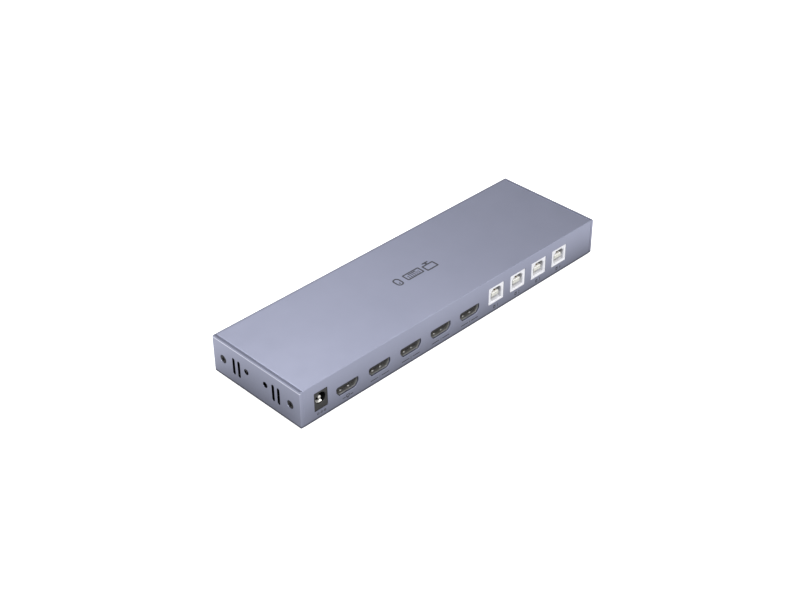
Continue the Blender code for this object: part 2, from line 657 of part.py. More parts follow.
for tag, x in LIGHT_XS.items():
    channel_light(tag, x)

# ---------------------------------------------------------------- parts on the board
VIDEO_CHIP_X, VIDEO_CHIP_Y, VIDEO_CHIP_H = 30.0, -1.0, 1.5


def chip(name, x, y, size, height):
    """Square chip with a bevelled top edge."""
    stations = []
    for rise, inset in ((0.0, 0.0), (height - 0.25, 0.0), (height, 0.125)):
        outline = rectangle(size - 2 * inset, size - 2 * inset, 0.2, 1)
        stations.append((SEAT_Z + rise, moved(outline, x, y)))
    complete(to_object(loft("z", stations)), name, CERAMIC_BLACK)


def heat_sink():
    """Finned block over the video switch chip, its fins along Y."""
    half_size, height, base_t = 11.0, 8.0, 1.8
    first_slot, slot_pitch, slot_w, slot_count = 2.25, 3.3, 1.9, 6
    bottom = SEAT_Z + VIDEO_CHIP_H + 0.15
    left, right = VIDEO_CHIP_X - half_size, VIDEO_CHIP_X + half_size
    front, rear = VIDEO_CHIP_Y - half_size, VIDEO_CHIP_Y + half_size
    sink = to_object(box((left, front, bottom), (right, rear, bottom + height)), "heat_sink")
    slots = bmesh.new()
    for k in range(slot_count):
        x = left + first_slot + k * slot_pitch
        box((x, front - 1, bottom + base_t), (x + slot_w, rear + 1, bottom + height + 1), slots)
    cut(sink, slots)
    complete(sink, "heat_sink", SINK_BLACK)


def power_inductor():
    outline = moved(rectangle(7.0, 7.0, 1.2, 3), 84.0, 6.0)
    coil = to_object(prism("z", SEAT_Z, SEAT_Z + 4.0, outline))
    complete(coil, "power_inductor", CERAMIC_BLACK, smooth=40)


def filter_capacitor(name, centre):
    """Upright can with a groove near its foot."""
    # height above the seat, radius
    profile = ((0.0, 3.15), (1.0, 3.15), (1.25, 2.95), (1.5, 3.15), (7.3, 3.15), (7.7, 2.75))
    profile = [(SEAT_Z + rise, radius) for rise, radius in profile]
    complete(to_object(turned("z", centre, profile, 24)), name, BRIGHT_CAN, smooth=40)


def crystal_can():
    """Long rounded can on a slightly wider flange."""
    length, width, radius = 11.0, 4.4, 2.0
    stations = []
    for rise, inset in ((0.0, 0.0), (0.5, 0.0), (0.5, 0.4), (3.4, 0.4)):
        outline = rectangle(length - 2 * inset, width - 2 * inset, radius - inset, 4)
        stations.append((SEAT_Z + rise, moved(outline, 8.0, -14.0)))
    complete(to_object(loft("z", stations)), "crystal_can", NICKEL, smooth=40)


chip("video_switch_chip", VIDEO_CHIP_X, VIDEO_CHIP_Y, size=16.0, height=VIDEO_CHIP_H)
chip("hub_chip", 50.0, -6.0, size=9.0, height=1.2)
heat_sink()
power_inductor()
filter_capacitor("filter_capacitor_1", (84.0, -4.0))
filter_capacitor("filter_capacitor_2", (-98.0, 2.0))
crystal_can()
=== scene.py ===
"""Keyboard, video and mouse switch box: a long aluminium case on four rubber feet.

X runs along the case and Z is up. The rear face, at +Y, carries the power, video and host
sockets. The front face, at -Y, carries the button, the channel lights and the console sockets.
Sizes are millimetres. Constants ending in Z are above the case's underside, which stands LIFT
over the floor; lifted() turns them into heights over the floor.
"""

import math

import bmesh
import bpy
from mathutils import Matrix, Vector


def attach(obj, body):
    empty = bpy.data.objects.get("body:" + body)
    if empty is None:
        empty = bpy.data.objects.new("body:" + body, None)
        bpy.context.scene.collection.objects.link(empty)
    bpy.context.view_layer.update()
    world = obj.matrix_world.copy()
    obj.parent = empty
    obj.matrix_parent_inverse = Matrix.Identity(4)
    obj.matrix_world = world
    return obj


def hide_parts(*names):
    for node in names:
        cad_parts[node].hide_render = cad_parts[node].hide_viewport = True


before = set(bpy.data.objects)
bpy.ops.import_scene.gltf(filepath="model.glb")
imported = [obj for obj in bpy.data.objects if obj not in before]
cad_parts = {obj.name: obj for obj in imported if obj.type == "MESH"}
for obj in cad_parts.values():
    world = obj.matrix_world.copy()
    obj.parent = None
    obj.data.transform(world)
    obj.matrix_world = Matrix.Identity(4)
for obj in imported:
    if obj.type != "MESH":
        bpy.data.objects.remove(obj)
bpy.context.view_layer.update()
MM = 0.001

# ---------------------------------------------------------------- driving sizes
LIFT = 1.5  # height of the feet
LENGTH, WIDTH, HEIGHT = 225.0, 67.8, 22.5
HALF_L, HALF_W = LENGTH / 2, WIDTH / 2
WALL, EDGE_R, GAP = 1.5, 0.5, 0.3
INNER_Y, INNER_TOP = HALF_W - WALL, HEIGHT - WALL
CORNERS = ((1, 1), (1, -1), (-1, 1), (-1, -1))  # signs of x and y

CAP_T, CAP_CHAMFER, CAP_CORNER_R, CAP_WEB = 2.0, 0.6, 0.5, 0.9
CAP_IN = HALF_L - CAP_T
COVER_END = CAP_IN - 0.06  # leaves a fine seam beside the end caps
RIM_T, RIM_D = 1.0, 2.0  # arch on the inside of an end cap
SLOT_YS, SLOT_Z0, SLOT_Z1, SLOT_W = (13.3, 17.4), 6.1, 16.35, 2.0
BRACKET_Y, BRACKET_Z, BRACKET_R = 7.35, 13.0, 1.7
CAP_SCREW_Y, CAP_SCREW_Z, SCREW_HEAD_R, SCREW_R, SCREW_SINK = 26.1, 11.15, 2.25, 1.25, 1.0

TRAY_T, FLANGE_T, FLANGE_H, FLANGE_W = 1.2, 1.2, 18.6, 61.0
FLANGE_OUT = CAP_IN - GAP
STAND_R, STAND_HOLE_R = 2.6, 1.35
VENT_XS, VENT_YS, VENT_L, VENT_W = (-56.0, -28.0, 0.0, 28.0, 56.0), (-7.0, 0.0, 7.0), 20.0, 2.2
FOOT_X, FOOT_Y = 96.0, 22.5

BOARD_Z, BOARD_T = 3.9, 1.6
BOARD_TOP = BOARD_Z + BOARD_T
SEAT = BOARD_TOP + 0.15  # underside of the parts on the board
BOARD_HOLES = ((100.0, 8.0), (100.0, -24.0), (-100.0, 24.0), (-100.0, -24.0))
SOLDER_FLOOR = LIFT + BOARD_TOP + 0.03  # underside of the small parts, over the floor
CAPACITORS = ((84.0, -4.0), (-98.0, 2.0))

VIDEO_XS = {"out": 81.2, "1": 58.8, "2": 36.3, "3": 13.9, "4": -8.5}
VIDEO_Z, VIDEO_CUT_W, VIDEO_CUT_H, VIDEO_W, VIDEO_H, VIDEO_WALL = 9.05, 15.1, 5.75, 14.45, 5.1, 0.3
HOST_XS = {"1": -29.7, "2": -47.3, "3": -64.9, "4": -82.5}
HOST_W, HOST_H, HOST_Z, HOST_DEPTH, HOST_CAVITY = 12.0, 10.7, 11.2, 16.0, 11.5
HOST_OPEN_W, HOST_OPEN_H, HOST_OPEN_CUT = 8.45, 7.8, 1.75
POWER_X, POWER_W, POWER_H, POWER_DEPTH = 99.05, 8.6, 11.0, 14.2
POWER_BORE_R, POWER_BORE_D, POWER_BORE_UP, POWER_PIN_R = 3.25, 9.8, 6.45, 1.0
CONSOLE_XS = {"1": 22.0, "2": 42.0, "3": 62.0, "4": 82.0}
CONSOLE_W, CONSOLE_H, CONSOLE_WALL, CONSOLE_Z, CONSOLE_DEPTH = 13.1, 5.7, 0.3, 9.0, 14.0
LIGHT_XS = {"1": -58.0, "2": -46.0, "3": -34.0, "4": -22.0}
LIGHT_Z, LIGHT_R = 11.2, 1.1
BUTTON_X, BUTTON_Z, BUTTON_R, BUTTON_PROUD = -82.0, 11.2, 3.6, 0.8


# ---------------------------------------------------------------- outlines
def arc(cu, cv, radius, start, end, steps):
    turns = [math.radians(start + (end - start) * k / steps) for k in range(steps + 1)]
    return [(cu + radius * math.cos(t), cv + radius * math.sin(t)) for t in turns]


def circle(radius, count, cu=0.0, cv=0.0):
    turns = [2 * math.pi * k / count for k in range(count)]
    return [(cu + radius * math.cos(t), cv + radius * math.sin(t)) for t in turns]


def rectangle(width, height, radius, steps, cu=0.0, cv=0.0):
    corners = ((1, -1, -90), (1, 1, 0), (-1, 1, 90), (-1, -1, 180))
    if radius <= 0:
        return [(cu + width / 2 * a, cv + height / 2 * b) for a, b, _ in corners]
    points = []
    for a, b, start in corners:
        points += arc(cu + a * (width / 2 - radius), cv + b * (height / 2 - radius), radius,
                      start, start + 90.0, steps)
    return points


def moved(outline, du, dv):
    return [(u + du, v + dv) for u, v in outline]


def lifted(outline):
    return moved(outline, 0.0, LIFT)


def mirrored(outline):
    return [(-u, v) for u, v in outline]


def neighbours(points, i):
    return (Vector(points[(i + k) % len(points)]) for k in (-1, 0, 1))


def offset(outline, distance):
    """Outline grown outwards by distance."""
    grown = []
    for i in range(len(outline)):
        before, here, after = neighbours(outline, i)
        normal = Vector(((here - before).y, -(here - before).x)).normalized()
        next_normal = Vector(((after - here).y, -(after - here).x)).normalized()
        middle = (normal + next_normal).normalized()
        grown.append(tuple(here + middle * (distance / middle.dot(normal))))
    return grown


def rounded(points, radius, steps):
    """Polygon with an arc at each corner."""
    outline = []
    for i in range(len(points)):
        before, corner, after = neighbours(points, i)
        back, ahead = (before - corner).normalized(), (after - corner).normalized()
        half = math.acos(max(-1.0, min(1.0, back.dot(ahead)))) / 2
        reach = min(radius / math.tan(half), 0.45 * (before - corner).length,
                    0.45 * (after - corner).length)
        fitted = reach * math.tan(half)
        centre = corner + (back + ahead).normalized() * (fitted / math.sin(half))
        first, last = corner + back * reach - centre, corner + ahead * reach - centre
        start = math.atan2(first.y, first.x)
        turn = (math.atan2(last.y, last.x) - start + math.pi) % (2 * math.pi) - math.pi
        turns = [start + turn * k / steps for k in range(steps + 1)]
        outline += [(centre.x + fitted * math.cos(t), centre.y + fitted * math.sin(t))
                    for t in turns]
    return outline


def dome(base, radius, rise, spread, angles):
    """Profile points of a rounded end: (place along the axis, radius)."""
    return [(base + rise * math.sin(math.radians(a)), radius + spread * math.cos(math.radians(a)))
            for a in angles]


# ---------------------------------------------------------------- solid shapes
def at(axis, along, u, v):
    """Point at (u, v) across an axis, or on a printed face with along as height over it."""
    return {
        "x": (along, u, v),
        "y": (u, along, v),
        "z": (u, v, along),
        "top": (u, v, HEIGHT + LIFT + along),
        "rear": (-u, HALF_W + along, v + LIFT),
        "front": (u, -HALF_W - along, v + LIFT),
    }[axis]


def vertex(shape, axis, along, u, v):
    return shape.verts.new(Vector(at(axis, along, u, v)) * MM)


def to_object(shape, name="shape"):
    bmesh.ops.recalc_face_normals(shape, faces=shape.faces)
    mesh = bpy.data.meshes.new(name)
    shape.to_mesh(mesh)
    shape.free()
    obj = bpy.data.objects.new(name, mesh)
    bpy.context.scene.collection.objects.link(obj)
    return obj


def bands(shape, rows):
    """Walls between each row of vertices and the next."""
    for row, after in zip(rows, rows[1:]):
        for i in range(len(row)):
            j = (i + 1) % len(row)
            shape.faces.new((row[i], row[j], after[j], after[i]))


def vertex_rows(shape, axis, layers):
    return [[vertex(shape, axis, along, u, v) for u, v in outline] for along, outline in layers]


def loft(shape, axis, layers):
    """Closed body through layers of (place along the axis, outline)."""
    rows = vertex_rows(shape, axis, layers)
    bands(shape, rows)
    shape.faces.new(rows[0][::-1])
    shape.faces.new(rows[-1])
    return shape


def sleeve(shape, axis, layers):
    """Hollow body: the layers run once round its wall and the last joins the first."""
    rows = vertex_rows(shape, axis, layers)
    bands(shape, rows + rows[:1])
    return shape


def prism(shape, outline, axis, start, end):
    return loft(shape, axis, [(start, outline), (end, outline)])


def box(shape, x0, x1, y0, y1, z0, z1):
    verts = bmesh.ops.create_cube(shape, size=1.0)["verts"]
    size = Vector((x1 - x0, y1 - y0, z1 - z0)) * MM
    middle = Vector((x0 + x1, y0 + y1, z0 + z1)) * (MM / 2)
    matrix = Matrix.Translation(middle) @ Matrix.Diagonal((*size, 1.0))
    bmesh.ops.transform(shape, matrix=matrix, verts=verts)


def turned(shape, profile, axis, cu, cv, count):
    """Turned body from a profile of (place along the axis, radius)."""
    rows = []
    for along, radius in profile:
        ring = circle(radius, count, cu, cv) if radius > 0 else [(cu, cv)]
        rows.append([vertex(shape, axis, along, u, v) for u, v in ring])
    for row, after in zip(rows, rows[1:]):
        if len(row) == len(after):
            bands(shape, [row, after])
            continue
        for i in range(count):
            j = (i + 1) % count
            if len(row) == 1:
                shape.faces.new((row[0], after[j], after[i]))
            else:
                shape.faces.new((row[i], row[j], after[0]))
    for row, turn in ((rows[0], -1), (rows[-1], 1)):
        if len(row) > 1:
            shape.faces.new(row[::turn])
    return shape


def strip(shape, path, thick, axis, start, end):
    """Bent strip of even thickness along a path of (u, v), as wide as start to end."""
    left, right = [], []
    for i, point in enumerate(path):
        before, after = Vector(path[max(i - 1, 0)]), Vector(path[min(i + 1, len(path) - 1)])
        along = (after - before).normalized()
        side = Vector((-along.y, along.x)) * (thick / 2)
        left.append(tuple(Vector(point) + side))
        right.append(tuple(Vector(point) - side))
    prism(shape, left + right[::-1], axis, start, end)


def evaluated_mesh(obj):
    bpy.context.view_layer.update()
    graph = bpy.context.evaluated_depsgraph_get()
    return bpy.data.meshes.new_from_object(obj.evaluated_get(graph))


def combine(target, operation, shape):
    """Boolean of target with the closed shapes, applied to its mesh."""
    tool = to_object(shape)
    modifier = target.modifiers.new("boolean", "BOOLEAN")
    modifier.operation, modifier.solver, modifier.object = operation, "EXACT", tool
    result = evaluated_mesh(target)
    target.modifiers.clear()
    old, target.data = target.data, result
    bpy.data.meshes.remove(old)
    tool_mesh = tool.data
    bpy.data.objects.remove(tool)
    bpy.data.meshes.remove(tool_mesh)


def cut(target, shape):
    combine(target, "DIFFERENCE", shape)


def join(target, shape):
    combine(target, "UNION", shape)


# ---------------------------------------------------------------- finishing a piece
def soft_edges(obj, bevel, steps, angle):
    modifier = obj.modifiers.new("edges", "BEVEL")
    modifier.width, modifier.segments = bevel * MM, steps
    modifier.limit_method, modifier.angle_limit = "ANGLE", math.radians(angle)
    modifier.use_clamp_overlap = False
    modifier = obj.modifiers.new("normals", "WEIGHTED_NORMAL")
    modifier.mode, modifier.weight, modifier.keep_sharp = "FACE_AREA", 50, False


def add_piece(obj, name, look, slot, body="case", bevel=0.0, steps=2, angle=32.0):
    """Names a piece, gives it material, soft edges and shading, and rides it on its body."""
    obj.name = name
    obj.data.name = name
    obj.data.materials.clear()
    obj.data.materials.append(look.material)
    obj.data.shade_smooth()
    if bevel:
        soft_edges(obj, bevel, steps, angle)
    else:
        obj.data.set_sharp_from_angle(angle=math.radians(angle))
    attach(obj, body)


def replace(obj, node_name, look, slot, **finish):
    """Adds a piece in the place of the CAD node."""
    add_piece(obj, node_name + "_fine", look, slot, **finish)
    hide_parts(node_name)


def keep(node_name, look, bevel, steps=2):
    """Keeps a CAD node's mesh, with split vertices joined, soft edges and a new material."""
    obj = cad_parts[node_name]
    mesh = obj.data
    mesh.materials.clear()
    mesh.materials.append(look.material)
    if mesh.has_custom_normals and "custom_normal" in mesh.attributes:
        mesh.attributes.remove(mesh.attributes["custom_normal"])
    mesh.shade_smooth()
    obj.modifiers.new("join", "WELD").merge_threshold = 0.000002
    soft_edges(obj, bevel, steps, angle=32.0)


# ---------------------------------------------------------------- shader helpers
def node(tree, kind, inputs=None, **settings):
    made = tree.nodes.new("ShaderNode" + kind)
    for key, value in settings.items():
        setattr(made, key, value)
    for key, value in (inputs or {}).items():
        put(tree, made.inputs[key], value)
    return made


def put(tree, socket, value):
    if isinstance(value, bpy.types.NodeSocket):
        tree.links.new(value, socket)
    else:
        socket.default_value = value


def calc(tree, operation, *values):
    return node(tree, "Math", dict(enumerate(values)), operation=operation).outputs[0]


def ramp(tree, value, reach, to=(0.0, 1.0), **settings):
    """Maps the reach of value onto the two values of to."""
    inputs = {"Value": value, "From Min": reach[0], "From Max": reach[1],
              "To Min": to[0], "To Max": to[1]}
    return node(tree, "MapRange", inputs, **settings).outputs["Result"]


class Finish:
    """Principled material with its patterns in millimetres; scales are per millimetre."""

    def __init__(self, name):
        self.material = bpy.data.materials.new(name)
        self.material.use_nodes = True
        self.tree = self.material.node_tree
        self.inputs = self.tree.nodes["Principled BSDF"].inputs
        place = self.add("TexCoord").outputs["Object"]
        self.mm = self.add("VectorMath", {0: place, "Scale": 1000.0}, operation="SCALE").outputs[0]

    def add(self, kind, inputs=None, **settings):
        return node(self.tree, kind, inputs, **settings)

    def set(self, key, value):
        put(self.tree, self.inputs[key], value)

    def source(self, key):
        links = self.inputs[key].links
        return links[0].from_socket if links else None

    def math(self, operation, a, b=0.0):
        return calc(self.tree, operation, a, b)

    def times(self, a, b):
        return self.math("MULTIPLY", a, b)

    def noise(self, scale, detail=3.0, rough=0.55, stretch=None):
        vector = self.mm
        if stretch:
            vector = self.add("VectorMath", {0: vector, 1: stretch}, operation="MULTIPLY").outputs[0]
        inputs = {"Vector": vector, "Scale": scale, "Detail": detail, "Roughness": rough}
        return self.add("TexNoise", inputs).outputs["Fac"]

    def cells(self, scale, feature="F1", output="Distance"):
        inputs = {"Vector": self.mm, "Scale": scale}
        return self.add("TexVoronoi", inputs, feature=feature).outputs[output]

    def span(self, value, reach, to=(0.0, 1.0)):
        return ramp(self.tree, value, reach, to)

    def mix(self, mask, first, second):
        made = self.add("Mix", data_type="RGBA")
        for key, value in ((0, mask), (6, first), (7, second)):
            if isinstance(value, tuple):
                value = (*value, 1.0)
            put(self.tree, made.inputs[key], value)
        return made.outputs[2]

    def place(self):
        return self.add("SeparateXYZ", {0: self.mm}).outputs

    def normal_z(self):
        normal = self.add("NewGeometry").outputs["Normal"]
        return self.add("SeparateXYZ", {0: normal}).outputs[2]

    def edge(self, radius):
        """1 on edges sharper than radius, 0 on the flats."""
        soft = self.add("Bevel", {"Radius": radius * MM}, samples=4).outputs[0]
        true = self.add("NewGeometry").outputs["Normal"]
        dot = self.add("VectorMath", {0: soft, 1: true}, operation="DOT_PRODUCT").outputs["Value"]
        return self.span(dot, (0.996, 0.88))

    def bump(self, height, depth):
        """Surface relief: height runs 0 to 1 over depth millimetres."""
        previous = self.source("Normal")
        made = self.add("Bump", {"Height": height, "Distance": depth * MM, "Strength": 1.0})
        if previous:
            put(self.tree, made.inputs["Normal"], previous)
        self.set("Normal", made.outputs[0])

    def repaint(self, mask, colour):
        self.set("Base Color", self.mix(mask, self.source("Base Color"), colour))

    def tint(self, mask, shade):
        """Multiplies the base colour by shade where mask is 1."""
        inputs = {0: self.source("Base Color"), "Scale": shade}
        self.repaint(mask, self.add("VectorMath", inputs, operation="SCALE").outputs[0])


def two_tone(name, dark, light, rough, metal=0.0, patch=0.5, grain=3.0, relief=0.008, wear=None,
             wear_r=0.15, wear_amount=0.4, rough_span=0.06, rough_scale=0.5, stretch=None):
    """Two tones in soft patches, roughness that varies, fine relief, and worn edges.

    patch, grain and rough_scale are pattern scales; relief and wear_r are lengths.
    """
    look = Finish(name)
    tone = look.mix(look.span(look.noise(patch, detail=4.0), (0.3, 0.7)), dark, light)
    if wear:
        worn = look.span(look.noise(scale=0.35), (0.35, 0.75), to=(0.35, 1.0))
        mask = look.times(look.times(look.edge(wear_r), worn), wear_amount)
        tone = look.mix(mask, tone, wear)
    look.set("Base Color", tone)
    look.set("Metallic", metal)
    uneven = look.noise(rough_scale, detail=4.0, rough=0.6, stretch=stretch)
    look.set("Roughness", look.span(uneven, (0.25, 0.75), to=(rough - rough_span, rough + rough_span)))
    look.bump(look.noise(grain, detail=2.0, rough=0.5, stretch=stretch), relief)
    return look


# ---------------------------------------------------------------- special materials
def anodised_metal(name):
    """Anodised aluminium in two tones, with worn edges."""
    return two_tone(
        name, dark=(0.385, 0.405, 0.53), light=(0.412, 0.432, 0.562), rough=0.36, metal=1.0,
        patch=0.02, grain=6.0, relief=0.0035, wear=(0.60, 0.62, 0.72), wear_r=0.3,
        wear_amount=0.35, rough_span=0.03, rough_scale=0.12)


# painted shade: the lowest strip of the case, next to the floor, darkened to 0.4 of its colour
def paint_low_edge_shade(look):
    look.tint(look.span(look.place()[2], (LIFT + 0.85, LIFT + 1.5), to=(1.0, 0.0)), shade=0.40)


def anodised_cover():
    look = anodised_metal("anodised_aluminium")
    paint_low_edge_shade(look)
    upward = look.normal_z()
    # painted shade: the top darkens towards its front edge, where the rounded edge turns away from the
    # light
    front = look.span(look.place()[1], (-HALF_W, -HALF_W + 2.4), to=(1.0, 0.0))
    front = look.math("POWER", front, 1.7)
    look.tint(look.times(front, look.span(upward, (0.2, 0.4))), shade=0.48)
    # painted highlight: a bright line on the top beside the seam, at the cover's cut end
    end = look.span(look.math("ABSOLUTE", look.place()[0]), (CAP_IN - 0.85, CAP_IN - 0.55))
    look.tint(look.times(end, look.span(upward, (0.2, 0.4))), shade=1.28)
    return look


def anodised_end_plate():
    look = anodised_metal("anodised_plate")
    # the sawn edges, above and below, are duller than the faces
    sawn = look.span(look.math("ABSOLUTE", look.normal_z()), (0.74, 0.93))
    look.set("Roughness", look.math("ADD", look.source("Roughness"), look.times(sawn, 0.24)))
    streaks = look.noise(scale=1.0, detail=3.0, rough=0.5, stretch=(1.0, 9.0, 9.0))
    look.bump(look.times(sawn, streaks), depth=0.004)
    # painted shade: the sawn strips are also darkened, for the dark band along the cap's top beside
    # the seam
    look.repaint(look.times(sawn, 0.62), (0.24, 0.25, 0.33))
    paint_low_edge_shade(look)
    # painted shade inside the slots and round holes
    x, y, z = look.place()
    slot_shade_area = look.times(look.math("LESS_THAN", look.math("ABSOLUTE", x), HALF_L - 0.1),
                        look.math("LESS_THAN", look.math("ABSOLUTE", y), 19.5))
    level = look.times(look.math("GREATER_THAN", z, LIFT + 4.5),
                       look.math("LESS_THAN", z, LIFT + 17.0))
    look.tint(look.times(slot_shade_area, level), shade=0.08)
    # painted highlight: a bright line along the chamfer's outer edge
    top = LIFT + HEIGHT - CAP_CHAMFER
    rim_highlight = look.times(look.span(z, (top - 0.50, top - 0.36)),
                     look.span(z, (top - 0.02, top + 0.14), to=(1.0, 0.0)))
    outer = look.math("GREATER_THAN", look.math("ABSOLUTE", x), HALF_L - CAP_CHAMFER - 0.02)
    look.repaint(look.times(look.times(rim_highlight, outer), 0.9), (0.86, 0.88, 1.0))
    return look


def power_contact_metal():
    look = two_tone("power_contact", dark=(0.80, 0.79, 0.75), light=(0.88, 0.87, 0.84), rough=0.3,
                    metal=0.7, relief=0.003)
    # painted shade: darkened down the bore
    look.tint(look.span(look.place()[1], (HALF_W - 2.9, HALF_W - 2.0), to=(1.0, 0.0)), shade=0.06)
    return look


def glossy_black(name, dark, light):
    return two_tone(name, dark, light, rough=0.42, patch=0.15, grain=3.5, relief=0.012,
                    wear=(0.09, 0.09, 0.09), rough_span=0.07)


def power_socket_plastic():
    """Black plastic with painted shade below its face: darker and less shiny there."""
    look = glossy_black("socket_black_plastic", (0.018, 0.018, 0.019), (0.030, 0.030, 0.030))
    depth = (HALF_W - 0.75, HALF_W - 0.45)
    look.tint(look.span(look.place()[1], depth, to=(1.0, 0.0)), shade=0.25)
    look.set("Specular IOR Level", look.span(look.place()[1], depth, to=(0.12, 0.5)))
    return look


def plain_white():
    look = two_tone("white_moulded_plastic", dark=(0.76, 0.755, 0.73), light=(0.83, 0.825, 0.80),
                    rough=0.38, patch=0.12, wear=(0.9, 0.9, 0.88))
    look.set("Subsurface Weight", 0.08)
    look.set("Subsurface Scale", 0.0006)
    return look


def host_socket_plastic():
    """White plastic with painted shade below its face, most of all in the upper half."""
    look = two_tone("socket_white_plastic", dark=(0.775, 0.78, 0.82), light=(0.84, 0.845, 0.885),
                    rough=0.38, patch=0.12, wear=(0.9, 0.9, 0.88))
    shade_inside = look.span(look.place()[1], (HALF_W - 1.6, HALF_W - 0.35), to=(1.0, 0.0))
    middle = LIFT + HOST_Z
    upper = look.span(look.place()[2], (middle - 1.6, middle + 0.4), to=(0.10, 1.0))
    look.tint(look.times(shade_inside, upper), shade=0.50)
    return look


def host_tongue_plastic():
    """Off-white plastic; upward faces are painted brighter, as painted light from above."""
    look = two_tone("socket_tongue_plastic", dark=(0.60, 0.60, 0.55), light=(0.68, 0.68, 0.62),
                    rough=0.36, patch=0.12, wear=(0.8, 0.8, 0.74), wear_amount=0.5)
    look.repaint(look.span(look.normal_z(), (0.35, 0.65)), (0.93, 0.92, 0.87))
    return look


def spangled_zinc():
    look = Finish("zinc_sheet")
    spangle = 0.22  # scale of the crystals
    colour = look.cells(spangle, output="Color")
    shade = look.add("SeparateColor", {0: colour}).outputs[0]
    tone = look.mix(shade, (0.42, 0.43, 0.45), (0.60, 0.61, 0.63))
    tone = look.mix(look.times(look.edge(radius=0.3), 0.6), tone, (0.8, 0.8, 0.81))
    look.set("Base Color", tone)
    look.set("Metallic", 1.0)
    uneven = look.math("ADD", look.times(shade, 0.5), look.noise(scale=1.5))
    look.set("Roughness", look.span(uneven, (0.3, 1.2), to=(0.3, 0.5)))
    look.bump(look.noise(scale=3.0, detail=2.0), depth=0.008)
    look.bump(look.cells(spangle, "DISTANCE_TO_EDGE"), depth=0.006)
    return look


def board_laminate():
    """Green mask over copper runs that turn from field to field, with small plated holes."""
    look = Finish("board_laminate")
    field = look.add("SeparateColor", {0: look.cells(scale=0.055, output="Color")}).outputs
    x, y, _ = look.place()
    # each field's runs go along Y, along X or diagonally
    turned_field = look.math("GREATER_THAN", field[0], 0.5)
    across = look.math("ADD", look.times(turned_field, look.math("SUBTRACT", y, x)), x)
    diagonal = look.times(look.math("ADD", x, y), 0.7071)
    pick = look.math("GREATER_THAN", field[1], 0.72)
    line = look.math("ADD", across, look.times(pick, look.math("SUBTRACT", diagonal, across)))
    wave = look.math("PINGPONG", look.times(line, 1.25), 0.5)
    run = look.times(look.span(wave, (0.27, 0.31)), look.span(field[2], (0.28, 0.3)))
    plated = look.span(look.cells(scale=0.24), (0.105, 0.125), to=(1.0, 0.0))
    hole = look.span(look.cells(scale=0.24), (0.05, 0.06), to=(1.0, 0.0))
    mottle = look.span(look.noise(scale=0.1), (0.3, 0.7))
    tone = look.mix(mottle, (0.010, 0.085, 0.040), (0.014, 0.105, 0.052))
    tone = look.mix(run, tone, (0.022, 0.175, 0.080))
    tone = look.mix(plated, tone, (0.62, 0.52, 0.30))
    look.set("Base Color", look.mix(hole, tone, (0.01, 0.03, 0.02)))
    look.set("Metallic", look.times(plated, 0.9))
    look.set("Roughness", look.span(look.noise(scale=0.8), (0.3, 0.7), to=(0.28, 0.42)))
    look.bump(run, depth=0.03)
    look.bump(look.noise(scale=1.2, detail=2.0), depth=0.01)
    return look


def clear_acrylic():
    look = Finish("light_pipe_acrylic")
    mottle = look.span(look.noise(scale=0.4), (0.3, 0.7))
    look.set("Base Color", look.mix(mottle, (0.80, 0.84, 0.86), (0.92, 0.94, 0.95)))
    look.set("Transmission Weight", 0.85)
    look.set("IOR", 1.49)
    look.set("Roughness", look.span(look.noise(scale=0.9), (0.3, 0.7), to=(0.16, 0.30)))
    look.bump(look.noise(scale=3.0, detail=2.0), depth=0.006)
    return look


# ---------------------------------------------------------------- the materials
anodised = anodised_cover()
anodised_plate = anodised_end_plate()
steel = two_tone(
    "zinc_plated_steel", dark=(0.40, 0.40, 0.42), light=(0.55, 0.55, 0.57), rough=0.34, metal=1.0,
    patch=0.4, relief=0.006, wear=(0.75, 0.75, 0.76), wear_r=0.12, wear_amount=0.6, rough_span=0.09)
black_steel = two_tone(
    "black_oxide_steel", dark=(0.030, 0.030, 0.034), light=(0.055, 0.055, 0.060), rough=0.36,
    metal=0.9, relief=0.006, wear=(0.22, 0.22, 0.23), wear_r=0.12, wear_amount=0.5, rough_span=0.08)
nickel = two_tone(
    "nickel_plate", dark=(0.55, 0.55, 0.545), light=(0.69, 0.69, 0.68), rough=0.34, metal=0.88,
    patch=0.25, grain=2.5, relief=0.004, wear=(0.8, 0.78, 0.74), wear_r=0.1, wear_amount=0.5,
    rough_span=0.07, stretch=(1.0, 0.12, 1.0))
bright_spring = two_tone(
    "polished_contact", dark=(0.44, 0.44, 0.43), light=(0.54, 0.54, 0.53), rough=0.3, metal=1.0,
    relief=0.003)
bright_contact = power_contact_metal()
gold = two_tone(
    "gold_contact", dark=(0.72, 0.50, 0.20), light=(0.86, 0.64, 0.30), rough=0.24, metal=1.0,
    patch=0.8, grain=5.0, relief=0.003, stretch=(1.0, 0.15, 1.0))
black_plastic = glossy_black("black_moulded_plastic", (0.016, 0.016, 0.017), (0.026, 0.026, 0.027))
grey_plastic = two_tone(
    "dark_grey_plastic", dark=(0.012, 0.012, 0.013), light=(0.022, 0.022, 0.023), rough=0.50,
    patch=0.3, grain=4.0, wear=(0.24, 0.24, 0.22), wear_r=0.12, wear_amount=0.5)
white_plastic = plain_white()
socket_black = power_socket_plastic()
socket_white = host_socket_plastic()
socket_tongue = host_tongue_plastic()
rubber = two_tone(
    "foot_rubber", dark=(0.018, 0.018, 0.019), light=(0.034, 0.034, 0.035), rough=0.78, patch=0.4,
    grain=2.0, relief=0.03, wear=(0.11, 0.11, 0.11), wear_r=0.3, wear_amount=0.5, rough_span=0.1)
compound = two_tone(
    "chip_compound", dark=(0.022, 0.022, 0.024), light=(0.036, 0.036, 0.038), rough=0.52,
    grain=5.0, relief=0.012, wear=(0.1, 0.1, 0.1), wear_r=0.12)
black_aluminium = two_tone(
    "black_anodised_aluminium", dark=(0.030, 0.030, 0.033), light=(0.05, 0.05, 0.054), rough=0.42,
    metal=0.85, patch=0.2, grain=2.0, relief=0.01, wear=(0.35, 0.35, 0.37), wear_amount=0.5,
    stretch=(1.0, 0.08, 1.0))
